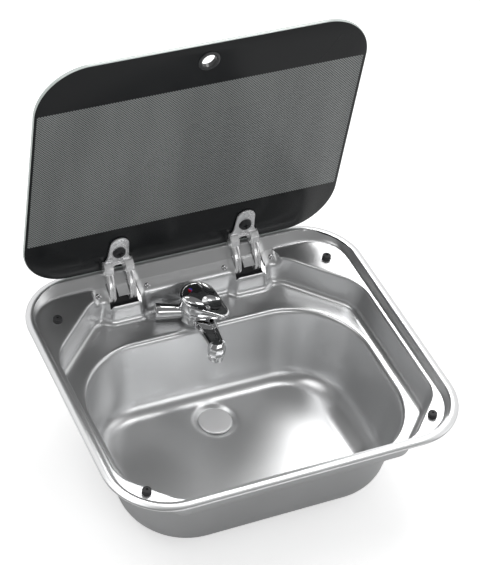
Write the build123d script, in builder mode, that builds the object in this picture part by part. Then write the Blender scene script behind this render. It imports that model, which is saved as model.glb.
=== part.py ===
"""Drop-in steel sink for a motor caravan, with a hinged glass lid and a low single-lever mixer tap.

The frame stands at the middle of the worktop cut-out, on the worktop's surface: +Z is up, +X is to the
right and -Y is the side where the user stands. All sizes are in millimetres. The lid is drawn open.
"""

import os
from math import atan, cos, degrees, radians, sin, tan

from build123d import *

os.makedirs("parts", exist_ok=True)

# ---- Rim of the pressing ------------------------------------------------------------------------
rim_width = 420.0  # outer edge, left to right
rim_depth = 370.0  # outer edge, front to back
rim_corner = 72.0
sheet = 0.8  # thickness of the pressed steel
rim_edge_height = 1.2
bead_height = 3.3  # crest of the rim above the worktop
bead_run = 5.0  # how far the crest starts inside the outer edge
seat_width = 2.4  # strip of the rim that touches the worktop
seal_outside = 5.5  # the foam seal under the rim, in from the outer edge
seal_inside = 7.7

# ---- Basin: the shallow step that the closed lid lies in ------------------------------------------
ledge_drop = 7.0  # corner pads, below the worktop
basin_half_width = rim_width / 2 - 9.5  # at the crest
basin_front = 11.5 - rim_depth / 2
basin_back = rim_depth / 2 - 8.5
basin_corner = rim_corner - 11.0
basin_lean = 4.0  # how far the side walls come in between the crest and the pads
ledge_back = basin_back - 15.5  # foot of the sloping back wall

# ---- Recess: the deep step that holds the tap deck -------------------------------------------------
deck_drop = 43.0  # tap deck round the bowl, below the worktop
recess_half_width = basin_half_width - 9.5
recess_front = basin_front + 6.5
recess_back = ledge_back - 13.0
recess_draft = 9.0  # degrees
back_pad = 73.0  # how much of the recess's back corners the pads cut off, along each side
front_pad = 55.5
back_pad_line = recess_half_width + recess_back - back_pad  # the back pads end on the line x + y = this
front_pad_line = recess_half_width - recess_front - front_pad  # the front pads end on the line x - y = this
recess_corner = 14.0
recess_foot = 6.0

# ---- Hinge panel: the slanting strip behind the tap that carries the lid's hinges -------------------
hinge_x = 80.0  # middle of each hinge, left and right
panel_half_width = hinge_x + 38.0
panel_front = ledge_back - 23.0
panel_front_drop = ledge_drop + 13.0
pedestal_half_width = 25.5
pedestal_spread = 4.0  # how much wider each side of a pedestal is at the back
pedestal_draft = 10.0  # degrees
pedestal_corner = 8.0

# ---- Bowl --------------------------------------------------------------------------------------------
bowl_half_width = recess_half_width - 18.5
bowl_front = recess_front + 19.0
bowl_back = recess_back - 53.0
bowl_corner = 88.0
bowl_drop = 140.2  # inner face of the bowl's floor, below the worktop
bowl_draft = 9.0  # degrees
bowl_lip = 4.0
bowl_foot = 30.0

# ---- Drain ---------------------------------------------------------------------------------------------
drain_y = bowl_back - 58.0
drain_top_radius = 27.5
drain_floor_radius = 20.8
drain_depth = 4.0
outlet_radius = 15.0
outlet_collar = 2.0

# ---- Lid and its hinges ----------------------------------------------------------------------------------
lid_open_angle = 85.46  # degrees from closed
lid_half_width = basin_half_width - 4.0
lid_height = basin_back - basin_front - 25.0
lid_corner = basin_corner - 1.0
glass = 4.0
lid_foot_y = basin_back + 1.5  # lower edge of the glass's front face, lid open
lid_foot_z = 3.9
pin_y = basin_back - 3.1  # axis that the lid turns about
pin_z = -7.3
pin_radius = 2.5
pin_head_radius = 3.6
running_gap = 0.05
side_gap = 0.1
arm_offset = 12.75  # middle of each arm, from the middle of its hinge
arm_width = 8.6
arm_thickness = 3.6
arm_rib = 3.1  # width of the raised rib along each side of an arm
arm_groove_depth = 0.8
arm_eye_radius = 5.0
arm_path = ((1.6, 12.5), (-17.4, -1.8), (-30.8, -21.0), (-27.4, -28.5), (-21.9, -27.4))  # from the pin's y
slot_gap = 1.6
window_half_width = 19.7
window_front = panel_front + 1.4
window_back = recess_back
window_top = -1.0
window_depth = 24.0
slot_back = ledge_back + 2.5
rivet_offset = 30.6
rivet_y = ledge_back - 8.0
rivet_radius = 1.6
rivet_length = 3.4  # below the steel's upper face
rivet_head_radius = 3.0
rivet_head = 1.0
cheek_inner = 21.0
cheek_thickness = 1.6
flange_outer = 38.0
flange_front = panel_front + 11.6
flange_back = ledge_back - 0.5
cheek_depth = 6.0  # under the panel, at the cheek's front
cheek_path = ((-10.4, -7.4), (-3.4, -2.8), (8.6, -2.0), (8.6, -8.0), (3.6, -14.5), (-7.4, -17.5))  # from the pin's y
bridge_depth = 2.0
bridge_height = 4.0
bridge_offset = 7.5  # behind the pin
screw_height = 29.5  # hinge screw above the glass's lower edge, along the glass
screw_radius = 3.0
knob_radius = 6.7
knob_height = 3.2
tongue_top = 49.5
tongue_low = 21.0
tongue_half_width = 11.0
bracket_half_width = 17.2
bracket_thickness = 2.6
bar_thickness = 4.4
bar_low = 5.5
bar_high = 14.5
arch_radius = 6.4
pad_thickness = 0.8
cap_radius = 8.0
cap_height = 2.6
grommet_height = lid_height - 24.0  # finger hole above the glass's lower edge
grommet_radius = 12.5
grommet_neck = 10.4
grommet_hole = 9.0
grommet_lip = 1.2

# ---- Tap, measured from its upright axis and from the deck ------------------------------------------
tap_y = recess_back - 33.0
shank_radius = 13.0
shank_length = 30.0
base_radius = 16.5
core_radius = 14.9
core_top_radius = 12.0
tap_radius = 21.5
ring_low = 4.1
ring_high = 16.1
crown_low = 16.2
crown_high = 21.0
lever_yaw = 34.0  # degrees to the right of straight ahead
lever_reach = 40.0
lever_low = 23.0
lever_high = 37.2
lever_tip_radius = 10.0
lever_brow = 4.0  # the slope starts this far behind the tap's axis
lever_fall = 10.5  # degrees: the lever's top slopes down to its tip
lift_back = 13.0  # the lever's lift axis lies this far behind the tap's axis
lift_height = 27.0
spout_yaw = -8.5  # degrees: the spout points a little to the left
spout_reach = 62.0
nozzle_radius = 8.8
outlet_height = 1.5
spout_top = 23.0
wing_reach = 50.0
wing_yaw = -105.0  # degrees from straight ahead, so it points left and a little back
inlet_radius = 4.0
inlet_offset = 7.2
inlet_length = 62.0
inlet_neck_radius = 3.5
inlet_neck = 13.0  # 12 of it sits in the shank
socket_depth = 12.0
nut_flats = 33.0
nut_height = 7.0
washer_radius = 16.0
washer_thickness = 3.0
gasket_thickness = 0.8
hub_radius = 13.0
hub_flange = 2.0
lever_pin_radius = 1.5
lever_pin_length = 26.0
lever_edge_round = 2.0
lever_hollow = 8.2
lever_wall = 4.0
dimple_ahead = 24.0
dimple_radius = 26.0
dimple_rise = 19.6  # the dimple's centre above the lever's top
mark_radius = 2.4
mark_behind = 12.5
mark_thickness = 0.3

# ---- Lid buffers ---------------------------------------------------------------------------------------
buffer_x = basin_half_width - 29.75
buffer_back = ledge_back - 35.0
buffer_front = basin_front + 29.5
buffer_radius = 5.3
buffer_hole = 3.0
buffer_gap = 0.1

# ---- Plug ------------------------------------------------------------------------------------------------
plug_radius = 19.5
plug_thickness = 1.4
plug_dome = 0.8
seal_thickness = 1.2
seal_boss_radius = 14.5
seal_boss = 3.0

deck_z = -deck_drop
bowl_z = -bowl_drop
drain_z = bowl_z - drain_depth
panel_slope = atan((panel_front_drop - ledge_drop) / (ledge_back - panel_front))
pedestal_x = (-hinge_x, hinge_x)
lid_tilt = radians(90.0 - lid_open_angle)
close_turn = radians(lid_open_angle)
closed_glass_z = pin_z + (lid_foot_y - pin_y) * sin(close_turn) + (lid_foot_z - pin_z) * cos(close_turn)
buffer_places = [(x, y, -ledge_drop) for x in (-buffer_x, buffer_x) for y in (buffer_front, buffer_back)]
lid_plane = Plane(
    origin=(0, lid_foot_y, lid_foot_z), x_dir=(1, 0, 0), z_dir=(0, -cos(lid_tilt), -sin(lid_tilt))
)  # front face of the glass, as it stands open


def panel_spot(x):
    """Where a hinge rivet stands, square to the slanting panel."""
    height = -ledge_drop - (ledge_back - rivet_y) * tan(panel_slope)
    return Location((x, rivet_y, height), (degrees(panel_slope), 0, 0))


def on_lid(x, lift):
    """A plane on the glass's front face, with x to the right and y up the glass from its lower edge."""
    return Plane(lid_plane.location * Location((x, 0, lift)))


def save(part, name):
    """Name one sub-part and write its file."""
    part.label = name
    export_step(part, f"parts/{name}.step")
    return part


def plate_outline(half_width, front, back, corner):
    """A rectangle with round corners, symmetric left to right."""
    with Locations((0, (front + back) / 2)):
        RectangleRounded(2 * half_width, back - front, corner)


# =================================================================================================
# Sink pressing
# =================================================================================================
def basin_space(grow):
    """The lid's shallow step, open at the top."""
    depth = ledge_drop + bead_height
    side_rate = basin_lean / depth
    back_rate = (basin_back - ledge_back) / depth
    with BuildPart() as space:
        for level in (-ledge_drop - grow, bead_height + 3.0):
            below = bead_height - level
            with BuildSketch(Plane.XY.offset(level)):
                plate_outline(
                    basin_half_width - side_rate * below + grow,
                    basin_front + side_rate * below - grow,
                    basin_back - back_rate * below + 1.6 * grow,
                    basin_corner - side_rate * below + grow,
                )
        loft(ruled=True)
    return space.part


def recess_space(grow):
    """The deep step round the bowl, with its corners cut off by the four pads."""
    half = recess_half_width + grow
    back = recess_back + grow
    front = recess_front - grow
    back_line = back_pad_line + grow * 1.414
    front_line = front_pad_line + grow * 1.414
    with BuildPart() as space:
        with BuildSketch(Plane.XY.offset(-ledge_drop)) as outline:
            with BuildLine():
                Polyline(
                    (back_line - back, back),
                    (half, back_line - half),
                    (half, half - front_line),
                    (front_line + front, front),
                    (-front_line - front, front),
                    (-half, half - front_line),
                    (-half, back_line - half),
                    (back - back_line, back),
                    close=True,
                )
            make_face()
            fillet(outline.vertices(), recess_corner + grow)
        extrude(amount=-(deck_drop - ledge_drop + grow), taper=recess_draft)
        fillet(space.faces().sort_by(Axis.Z)[0].edges(), recess_foot + grow)
        with BuildSketch(Plane.XY.offset(-ledge_drop)):
            add(outline.sketch)
        extrude(amount=2.0)
    return space.part


def panel_space(grow):
    """The wedge of air over the slanting hinge panel."""
    half = panel_half_width + grow
    drop = grow / cos(panel_slope)
    with BuildPart() as space:
        with BuildSketch(Plane.YZ.offset(-half)):
            with BuildLine():
                Polyline(
                    (ledge_back, -ledge_drop - drop),
                    (panel_front, -panel_front_drop - drop),
                    (panel_front, 0),
                    (ledge_back, 0),
                    close=True,
                )
            make_face()
        extrude(amount=2 * half)
    return space.part


def pedestal_block(x, grow):
    """The block under one hinge: it stands on the deck and ends under the slanting panel."""
    height = deck_drop - panel_front_drop + 14.0
    with BuildPart() as block:
        with BuildSketch(Plane.XY.offset(deck_z - grow)):
            foot_front = panel_front - 2.0 - tan(radians(pedestal_draft)) * (deck_drop - panel_front_drop)
            foot_half = pedestal_half_width - grow
            with BuildLine():
                Polyline(
                    (x - foot_half - pedestal_spread, ledge_back + 9.0),
                    (x - foot_half, foot_front + grow),
                    (x + foot_half, foot_front + grow),
                    (x + foot_half + pedestal_spread, ledge_back + 9.0),
                    close=True,
                )
            make_face()
        extrude(amount=height + grow, taper=pedestal_draft)
        fillet(block.edges().filter_by_position(Axis.Y, 0, recess_back - 3.0).filter_by(
            lambda edge: edge.bounding_box().size.Z > height / 2), pedestal_corner - grow)
        drop = grow / cos(panel_slope)
        with BuildSketch(Plane.YZ.offset(x - 60), mode=Mode.PRIVATE) as above:
            with BuildLine():
                Polyline(
                    (ledge_back + 20, -ledge_drop - drop + 20 * tan(panel_slope)),
                    (panel_front - 60, -panel_front_drop - drop - 60 * tan(panel_slope)),
                    (panel_front - 60, 40),
                    (ledge_back + 20, 40),
                    close=True,
                )
            make_face()
        extrude(above.sketch, amount=120, mode=Mode.SUBTRACT)
    return block.part


def bowl_space(grow):
    """The bowl, with its soft foot."""
    with BuildPart() as space:
        with BuildSketch(Plane.XY.offset(deck_z)):
            plate_outline(bowl_half_width + grow, bowl_front - grow, bowl_back + grow, bowl_corner + grow)
        extrude(amount=-(bowl_drop - deck_drop + grow), taper=bowl_draft)
        fillet(space.faces().sort_by(Axis.Z)[0].edges(), bowl_foot + grow)
    return space.part


def drain_space(grow):
    """The drain's conical step in the bowl's floor."""
    with BuildPart() as space:
        with BuildSketch(Plane.XZ.offset(-drain_y)):
            with BuildLine():
                Polyline(
                    (0, bowl_z + 6.0),
                    (drain_top_radius + grow, bowl_z + 6.0),
                    (drain_top_radius + grow, bowl_z),
                    (drain_floor_radius + grow, drain_z - grow),
                    (0, drain_z - grow),
                    close=True,
                )
            make_face()
        revolve(axis=Axis((0, drain_y, 0), (0, 0, 1)))
    return space.part


def pan_space(grow):
    """All the air inside the pressing; grown by the sheet it is the outside of the pressing."""
    with BuildPart() as space:
        add(basin_space(grow))
        add(recess_space(grow))
        add(panel_space(grow))
        for x in pedestal_x:
            add(pedestal_block(x, grow), mode=Mode.SUBTRACT)
        add(bowl_space(grow))
        lip = [
            edge
            for edge in space.edges().filter_by_position(Axis.Z, deck_z - grow - 0.05, deck_z - grow + 0.05)
            if abs(edge.center().X) < bowl_half_width + 2
            and bowl_front - 2 < edge.center().Y < bowl_back + 2
        ]
        fillet(lip, bowl_lip - grow)
        add(drain_space(grow))
    return space.part


def rim_block():
    """The rim: a bead with sloping flanks, hollow underneath."""
    with BuildPart() as block:
        with BuildSketch():
            RectangleRounded(rim_width, rim_depth, rim_corner)
        extrude(amount=rim_edge_height)
        for level, inset in ((rim_edge_height, 0.0), (bead_height, bead_run)):
            with BuildSketch(Plane.XY.offset(level)):
                RectangleRounded(rim_width - 2 * inset, rim_depth - 2 * inset, rim_corner - inset)
        loft(ruled=True)
        fillet(block.faces().sort_by(Axis.Z)[-1].edges(), 4.0)
        for level, inset in ((0.0, seat_width), (bead_height - sheet, bead_run + 1.0)):
            with BuildSketch(Plane.XY.offset(level)):
                RectangleRounded(rim_width - 2 * inset, rim_depth - 2 * inset, rim_corner - inset)
        loft(ruled=True, mode=Mode.SUBTRACT)
    return block.part


with BuildPart() as sink_bowl:
    add(rim_block())
    with BuildPart(mode=Mode.PRIVATE) as shell:
        add(pan_space(sheet))
        with BuildSketch(Plane.XY.offset(bead_height)):
            Rectangle(rim_width, rim_depth)
        extrude(amount=10.0, mode=Mode.SUBTRACT)
    add(shell.part)
    with BuildSketch(Plane.XY.offset(drain_z + sheet)):
        with Locations((0, drain_y)):
            Circle(outlet_radius + sheet)
    extrude(amount=-(2 * sheet + outlet_collar))
    add(pan_space(0.0), mode=Mode.SUBTRACT)
    # outlet, tap hole and the holes for the lid buffers and the hinge rivets
    with Locations((0, drain_y, drain_z)):
        Cylinder(outlet_radius, 30, mode=Mode.SUBTRACT)
    with Locations((0, tap_y, deck_z)):
        Cylinder(shank_radius + 0.4, 10, mode=Mode.SUBTRACT)
    with Locations(*buffer_places):
        Cylinder(buffer_hole, 10, mode=Mode.SUBTRACT)
    # each hinge has a window in the panel, and a slot behind it for each arm
    for x in pedestal_x:
        with Locations((x, (window_front + window_back) / 2, window_top - window_depth / 2)):
            Box(2 * window_half_width, window_back - window_front, window_depth, mode=Mode.SUBTRACT)
        for side in (-1, 1):
            with Locations(
                (x + side * arm_offset, (window_front + slot_back) / 2, window_top - window_depth / 2)
            ):
                Box(arm_width + 2 * slot_gap, slot_back - window_front, window_depth, mode=Mode.SUBTRACT)
    with Locations(*[panel_spot(x + side * rivet_offset) for x in pedestal_x for side in (-1, 1)]):
        Cylinder(rivet_radius, 6, mode=Mode.SUBTRACT)
save(sink_bowl.part, "sink_bowl")

with BuildPart() as rim_seal:
    with BuildSketch():
        for inset, mode in ((seal_outside, Mode.ADD), (seal_inside, Mode.SUBTRACT)):
            RectangleRounded(rim_width - 2 * inset, rim_depth - 2 * inset, rim_corner - inset, mode=mode)
    extrude(amount=bead_height - sheet - 0.35)
save(rim_seal.part, "rim_seal")

with BuildPart() as lid_buffers:
    for place in buffer_places:
        top = closed_glass_z - buffer_gap
        with BuildSketch(Plane(origin=(place[0], place[1], 0), x_dir=(1, 0, 0), z_dir=(0, -1, 0))):
            with BuildLine():
                Polyline(
                    (0, -ledge_drop - 4.0),
                    (buffer_hole - 0.6, -ledge_drop - 4.0),
                    (buffer_hole + 0.7, -ledge_drop - sheet - 0.05),
                    (buffer_hole, -ledge_drop - sheet - 0.05),
                    (buffer_hole, -ledge_drop),
                    (buffer_radius, -ledge_drop),
                    (buffer_radius, top - 0.8),
                    (buffer_radius - 0.8, top),
                    (0, top),
                    close=True,
                )
            make_face()
        revolve(axis=Axis((place[0], place[1], 0), (0, 0, 1)))
save(lid_buffers.part, "lid_buffers")


# =================================================================================================
# Hinges
# =================================================================================================
def hinge_housing(x):
    """Folded steel bracket under the panel: two riveted flanges, two cheeks and a bridge behind the pin."""
    under = ledge_drop + sheet / cos(panel_slope)
    rate = tan(panel_slope)

    def under_panel(y, gap=0.0):
        return -under - (ledge_back - y) * rate - gap

    with BuildPart() as housing:
        for side in (-1, 1):
            with BuildSketch(Plane.YZ.offset(x + side * (cheek_inner + flange_outer) / 2)):
                with BuildLine():
                    Polyline(
                        (flange_front, under_panel(flange_front)),
                        (flange_back, under_panel(flange_back)),
                        (flange_back, under_panel(flange_back, cheek_thickness)),
                        (flange_front, under_panel(flange_front, cheek_thickness)),
                        close=True,
                    )
                make_face()
            extrude(amount=(flange_outer - cheek_inner) / 2, both=True)
            with BuildSketch(Plane.YZ.offset(x + side * (cheek_inner + cheek_thickness / 2))):
                with BuildLine():
                    Polyline(
                        (flange_front, under_panel(flange_front)),
                        (flange_back, under_panel(flange_back)),
                        *[(pin_y + y, z) for y, z in cheek_path],
                        (flange_front, under_panel(flange_front, cheek_depth)),
                        close=True,
                    )
                make_face()
            extrude(amount=cheek_thickness / 2, both=True)
        with Locations((x, pin_y + bridge_offset, -bridge_height)):
            Box(2 * cheek_inner, bridge_depth, bridge_height)
        with Locations(Location((x, pin_y, pin_z), (0, 90, 0))):
            Cylinder(pin_radius, 120, mode=Mode.SUBTRACT)
        with Locations(*[panel_spot(x + side * rivet_offset) for side in (-1, 1)]):
            Cylinder(rivet_radius, 14, mode=Mode.SUBTRACT)
    return housing.part


def hinge_pin(x):
    """Headed pin through both cheeks."""
    reach = cheek_inner + cheek_thickness
    with BuildPart() as pin:
        with BuildSketch(Plane.YZ.offset(x)):
            with Locations((pin_y, pin_z)):
                Circle(pin_radius)
        extrude(amount=reach + 0.9, both=True)
        for side in (-1, 1):
            with BuildSketch(Plane.YZ.offset(x + side * (reach + 0.5))):
                with Locations((pin_y, pin_z)):
                    Circle(pin_head_radius)
            extrude(amount=0.5, both=True)
    return pin.part


def tube_on_pin(x, first, last, radius):
    """A spacer on the pin, from first to last as measured from the middle of its hinge."""
    with BuildPart() as tube:
        with BuildSketch(Plane.YZ.offset(x + first)):
            with Locations((pin_y, pin_z)):
                Circle(radius)
                Circle(pin_radius, mode=Mode.SUBTRACT)
        extrude(amount=last - first)
    return tube.part


def arm_profile(thickness):
    """Side view of one swan-neck arm, drawn as (y, z)."""
    start, high, mouth, low, turn = [(pin_y + y, z) for y, z in arm_path]
    with BuildLine() as middle:
        ThreePointArc(start, high, mouth)
        ThreePointArc(mouth, low, turn)
        Line(turn, (pin_y, pin_z))
    with BuildSketch() as profile:
        with BuildLine():
            offset(middle.line, amount=thickness / 2, side=Side.BOTH)
        make_face()
        with Locations((pin_y, pin_z)):
            Circle(arm_eye_radius)
    return profile.sketch


for name, x in (("left", -hinge_x), ("right", hinge_x)):
    save(hinge_housing(x), f"hinge_housing_{name}")
    save(hinge_pin(x), f"hinge_pin_{name}")
    with BuildPart() as hinge_arm:
        with BuildSketch(on_lid(x, pad_thickness)):
            with BuildLine():
                ThreePointArc(
                    (-tongue_half_width, tongue_top - tongue_half_width),
                    (0, tongue_top),
                    (tongue_half_width, tongue_top - tongue_half_width),
                )
                Polyline(
                    (tongue_half_width, tongue_top - tongue_half_width),
                    (tongue_half_width, tongue_low),
                    (bracket_half_width, bar_high),
                    (bracket_half_width, bar_low),
                    (-bracket_half_width, bar_low),
                    (-bracket_half_width, bar_high),
                    (-tongue_half_width, tongue_low),
                    (-tongue_half_width, tongue_top - tongue_half_width),
                )
            make_face()
            with Locations((0, screw_height)):
                Circle(screw_radius, mode=Mode.SUBTRACT)
        extrude(amount=bracket_thickness)
        with BuildSketch(on_lid(x, pad_thickness)):
            with Locations((0, (bar_low + bar_high) / 2)):
                RectangleRounded(2 * bracket_half_width, bar_high - bar_low, 2.0)
        extrude(amount=bar_thickness)
        for side in (-1, 1):
            with BuildSketch(Plane.YZ.offset(x + side * arm_offset)):
                add(arm_profile(arm_thickness - 2 * arm_groove_depth))
            extrude(amount=arm_width / 2, both=True)
            for rib in (-1, 1):
                with BuildSketch(Plane.YZ.offset(x + side * arm_offset + rib * (arm_width - arm_rib) / 2)):
                    add(arm_profile(arm_thickness))
                extrude(amount=arm_rib / 2, both=True)
        with BuildSketch(on_lid(x, pad_thickness)):
            with Locations((0, bar_low - 1.5)):
                Circle(arch_radius)
        extrude(amount=bar_thickness + 1, mode=Mode.SUBTRACT)
        with Locations(Location((x, pin_y, pin_z), (0, 90, 0))):
            Cylinder(pin_radius + running_gap, 60, mode=Mode.SUBTRACT)
    save(hinge_arm.part, f"hinge_arm_{name}")

with BuildPart() as hinge_sleeves:
    for x in pedestal_x:
        reach = arm_offset - arm_width / 2 - side_gap
        add(tube_on_pin(x, -reach, reach, arm_eye_radius - 0.6))
save(hinge_sleeves.part, "hinge_sleeves")

with BuildPart() as friction_washers:
    for x in pedestal_x:
        first = arm_offset + arm_width / 2 + side_gap
        add(tube_on_pin(x, first, cheek_inner, arm_eye_radius - 0.3))
        add(tube_on_pin(x, -cheek_inner, -first, arm_eye_radius - 0.3))
save(friction_washers.part, "friction_washers")

with BuildPart() as hinge_rivets:
    for x in pedestal_x:
        for side in (-1, 1):
            spot = panel_spot(x + side * rivet_offset)
            plane = Plane(spot)
            with BuildSketch(plane):
                Circle(rivet_head_radius)
            extrude(amount=rivet_head, taper=25)
            with BuildSketch(plane):
                Circle(rivet_radius)
            extrude(amount=-rivet_length)
            with BuildSketch(plane.offset(-(sheet + cheek_thickness))):
                Circle(rivet_head_radius - 0.5)
            extrude(amount=-rivet_head)
save(hinge_rivets.part, "hinge_rivets")


# =================================================================================================
# Glass lid
# =================================================================================================
hinge_holes = [(x, screw_height) for x in pedestal_x]

with BuildPart() as glass_lid:
    with BuildSketch(lid_plane):
        with Locations((0, lid_height / 2)):
            RectangleRounded(2 * lid_half_width, lid_height, lid_corner)
        with Locations((0, grommet_height)):
            Circle(grommet_neck, mode=Mode.SUBTRACT)
        with Locations(*hinge_holes):
            Circle(screw_radius, mode=Mode.SUBTRACT)
    extrude(amount=-glass)
save(glass_lid.part, "glass_lid")

with BuildPart() as finger_grommet:
    for level, radius, height in (
        (0.0, grommet_radius, grommet_lip),
        (-glass, grommet_neck, glass),
        (-glass - grommet_lip, grommet_radius, grommet_lip),
    ):
        with BuildSketch(lid_plane.offset(level)):
            with Locations((0, grommet_height)):
                Circle(radius)
                Circle(grommet_hole, mode=Mode.SUBTRACT)
        extrude(amount=height)
save(finger_grommet.part, "finger_grommet")

with BuildPart() as hinge_pads:
    with BuildSketch(lid_plane) as pads:
        with Locations(*hinge_holes):
            SlotCenterToCenter(20.0, 2 * tongue_half_width - 1.0, rotation=90)
            Circle(screw_radius, mode=Mode.SUBTRACT)
    extrude(amount=pad_thickness)
    with BuildSketch(lid_plane.offset(-glass)):
        with Locations(*hinge_holes):
            Circle(cap_radius + 0.6)
            Circle(screw_radius, mode=Mode.SUBTRACT)
    extrude(amount=-pad_thickness)
save(hinge_pads.part, "hinge_pads")

with BuildPart() as hinge_screws:
    with BuildSketch(lid_plane.offset(pad_thickness + bracket_thickness)):
        with Locations(*hinge_holes):
            Circle(knob_radius)
    extrude(amount=knob_height, taper=8)
    with BuildSketch(lid_plane.offset(pad_thickness + bracket_thickness)):
        with Locations(*hinge_holes):
            Circle(screw_radius)
    extrude(amount=-(2 * pad_thickness + bracket_thickness + glass + 1.6))
save(hinge_screws.part, "hinge_screws")

with BuildPart() as hinge_caps:
    with BuildSketch(lid_plane.offset(-glass - pad_thickness)):
        with Locations(*hinge_holes):
            Circle(cap_radius)
    extrude(amount=-cap_height, taper=14)
    with BuildSketch(lid_plane.offset(-glass - pad_thickness)):
        with Locations(*hinge_holes):
            Circle(screw_radius)
    extrude(amount=-1.6, mode=Mode.SUBTRACT)
save(hinge_caps.part, "hinge_caps")


# =================================================================================================
# Tap
# =================================================================================================
def ring_about_tap(low, high, outer, inner):
    """A plain ring about the tap's axis, between two heights above the deck."""
    with BuildPart() as ring:
        with BuildSketch(Plane(origin=(0, tap_y, deck_z + low))):
            Circle(outer)
            Circle(inner, mode=Mode.SUBTRACT)
        extrude(amount=high - low)
    return ring.part


def tap_direction(yaw, reach, height):
    """A point that lies reach from the tap's axis; yaw is measured from straight ahead to the right."""
    angle = radians(yaw)
    return (reach * sin(angle), tap_y - reach * cos(angle), deck_z + height)


def tap_section(yaw, reach, height):
    """A plane across the tap's horizontal direction; its x runs sideways and its y up."""
    angle = radians(yaw)
    return Plane(
        origin=tap_direction(yaw, reach, height),
        x_dir=(cos(angle), sin(angle), 0),
        z_dir=(sin(angle), -cos(angle), 0),
    )


with BuildPart() as tap_body:
    with BuildSketch(Plane.XZ.offset(-tap_y)):
        with BuildLine():
            Polyline(
                (0, deck_z - shank_length),
                (shank_radius, deck_z - shank_length),
                (shank_radius, deck_z + gasket_thickness),
                (base_radius, deck_z + gasket_thickness),
                (base_radius, deck_z + 3.0),
                (base_radius + 1.2, deck_z + ring_low - 0.1),
                (core_radius, deck_z + ring_low - 0.1),
                (core_radius, deck_z + crown_low),
                (core_top_radius, deck_z + crown_low),
                (core_top_radius, deck_z + crown_high),
                (0, deck_z + crown_high),
                close=True,
            )
        make_face()
    revolve(axis=Axis((0, tap_y, 0), (0, 0, 1)))
    for side in (-1, 1):
        with BuildSketch(Plane.XY.offset(deck_z - shank_length)):
            with Locations((side * inlet_offset, tap_y)):
                Circle(inlet_neck_radius)
        extrude(amount=socket_depth, mode=Mode.SUBTRACT)
save(tap_body.part, "tap_body")

save(ring_about_tap(0.0, gasket_thickness, base_radius - 0.5, shank_radius), "tap_gasket")
save(ring_about_tap(-sheet - washer_thickness, -sheet, washer_radius, shank_radius), "tap_washer")

with BuildPart() as tap_nut:
    with BuildSketch(Plane(origin=(0, tap_y, deck_z - sheet - washer_thickness))):
        RegularPolygon(nut_flats / 2, 6, major_radius=False)
        Circle(shank_radius, mode=Mode.SUBTRACT)
    extrude(amount=-nut_height)
save(tap_nut.part, "tap_nut")

for name, side in (("hot", -1), ("cold", 1)):
    with BuildPart() as inlet:
        with BuildSketch(Plane.XY.offset(deck_z - shank_length + socket_depth)):
            with Locations((side * inlet_offset, tap_y)):
                Circle(inlet_neck_radius)
        extrude(amount=-inlet_neck)
        with BuildSketch(Plane.XY.offset(deck_z - shank_length + socket_depth - inlet_neck)):
            with Locations((side * inlet_offset, tap_y)):
                Circle(inlet_radius)
        extrude(amount=-inlet_length)
    save(inlet.part, f"inlet_{name}")

nozzle = tap_direction(spout_yaw, spout_reach, 0)

with BuildPart() as spout:
    add(ring_about_tap(ring_low, ring_high, tap_radius, core_radius + running_gap))
    for reach, middle, width, height in (
        (17.0, 10.0, 25.0, 10.4),
        (32.0, 13.2, 21.5, 13.0),
        (48.0, 16.0, 19.0, 12.6),
        (spout_reach, 17.4, 16.6, 10.6),
    ):
        with BuildSketch(tap_section(spout_yaw, reach, middle)):
            RectangleRounded(width, height, height / 2 - 0.6)
    loft()
    with BuildSketch(Plane(origin=(nozzle[0], nozzle[1], deck_z + outlet_height + 7.0))):
        Circle(nozzle_radius - 0.3)
    extrude(amount=spout_top - outlet_height - 7.0)
    fillet(spout.faces().filter_by(Axis.Z).sort_by(Axis.Z)[-1].edges(), 2.5)
    add(ring_about_tap(ring_high, 40.0, tap_radius + 0.3, 1.0), mode=Mode.SUBTRACT)
save(spout.part, "spout")

with BuildPart() as aerator:
    with BuildSketch(Plane(origin=(nozzle[0], nozzle[1], deck_z + outlet_height))):
        Circle(nozzle_radius)
        Circle(nozzle_radius - 2.0, mode=Mode.SUBTRACT)
    extrude(amount=7.0)
    with BuildSketch(Plane(origin=(nozzle[0], nozzle[1], deck_z + outlet_height + 1.2))):
        Circle(nozzle_radius - 2.0)
    extrude(amount=5.8)
save(aerator.part, "aerator")

with BuildPart() as tap_crown:
    add(ring_about_tap(crown_low, crown_high, tap_radius, core_top_radius))
    with BuildPart(mode=Mode.PRIVATE) as wing:
        for reach, middle, radius in ((12.0, 14.2, 6.6), (30.0, 13.8, 7.6), (wing_reach, 13.4, 8.4)):
            with BuildSketch(tap_section(wing_yaw, reach, middle)):
                Circle(radius)
        loft()
        with Locations((0, tap_y, deck_z)):
            Cylinder(tap_radius + 0.4, 2 * (crown_low + 0.05), mode=Mode.SUBTRACT)
            Cylinder(core_top_radius, 80, mode=Mode.SUBTRACT)
    add(wing.part)
save(tap_crown.part, "tap_crown")

# The lever turns on a hub, and lifts about a cross pin at the back of the hub.
lever_frame = Plane(
    origin=(0, tap_y, deck_z),
    x_dir=(cos(radians(lever_yaw)), sin(radians(lever_yaw)), 0),
    z_dir=(0, 0, 1),
)  # x runs to the lever's right and -y to its tip

lever_side = Plane(origin=lever_frame.origin, x_dir=lever_frame.y_dir, z_dir=lever_frame.x_dir)
lift_axis = lever_frame * Location((0, lift_back, lift_height), (0, 90, 0))

with BuildPart() as lever_hub:
    with BuildSketch(lever_frame.offset(crown_high + 0.2)):
        Circle(hub_radius)
    extrude(amount=hub_flange)
    with BuildSketch(lever_frame.offset(crown_high + 0.2 + hub_flange)):
        with Locations((0, lift_back - 1.0)):
            Rectangle(9.0, 7.0)
    extrude(amount=7.0)
    with Locations(lift_axis):
        Cylinder(lever_pin_radius + running_gap, 40, mode=Mode.SUBTRACT)
save(lever_hub.part, "lever_hub")

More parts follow.
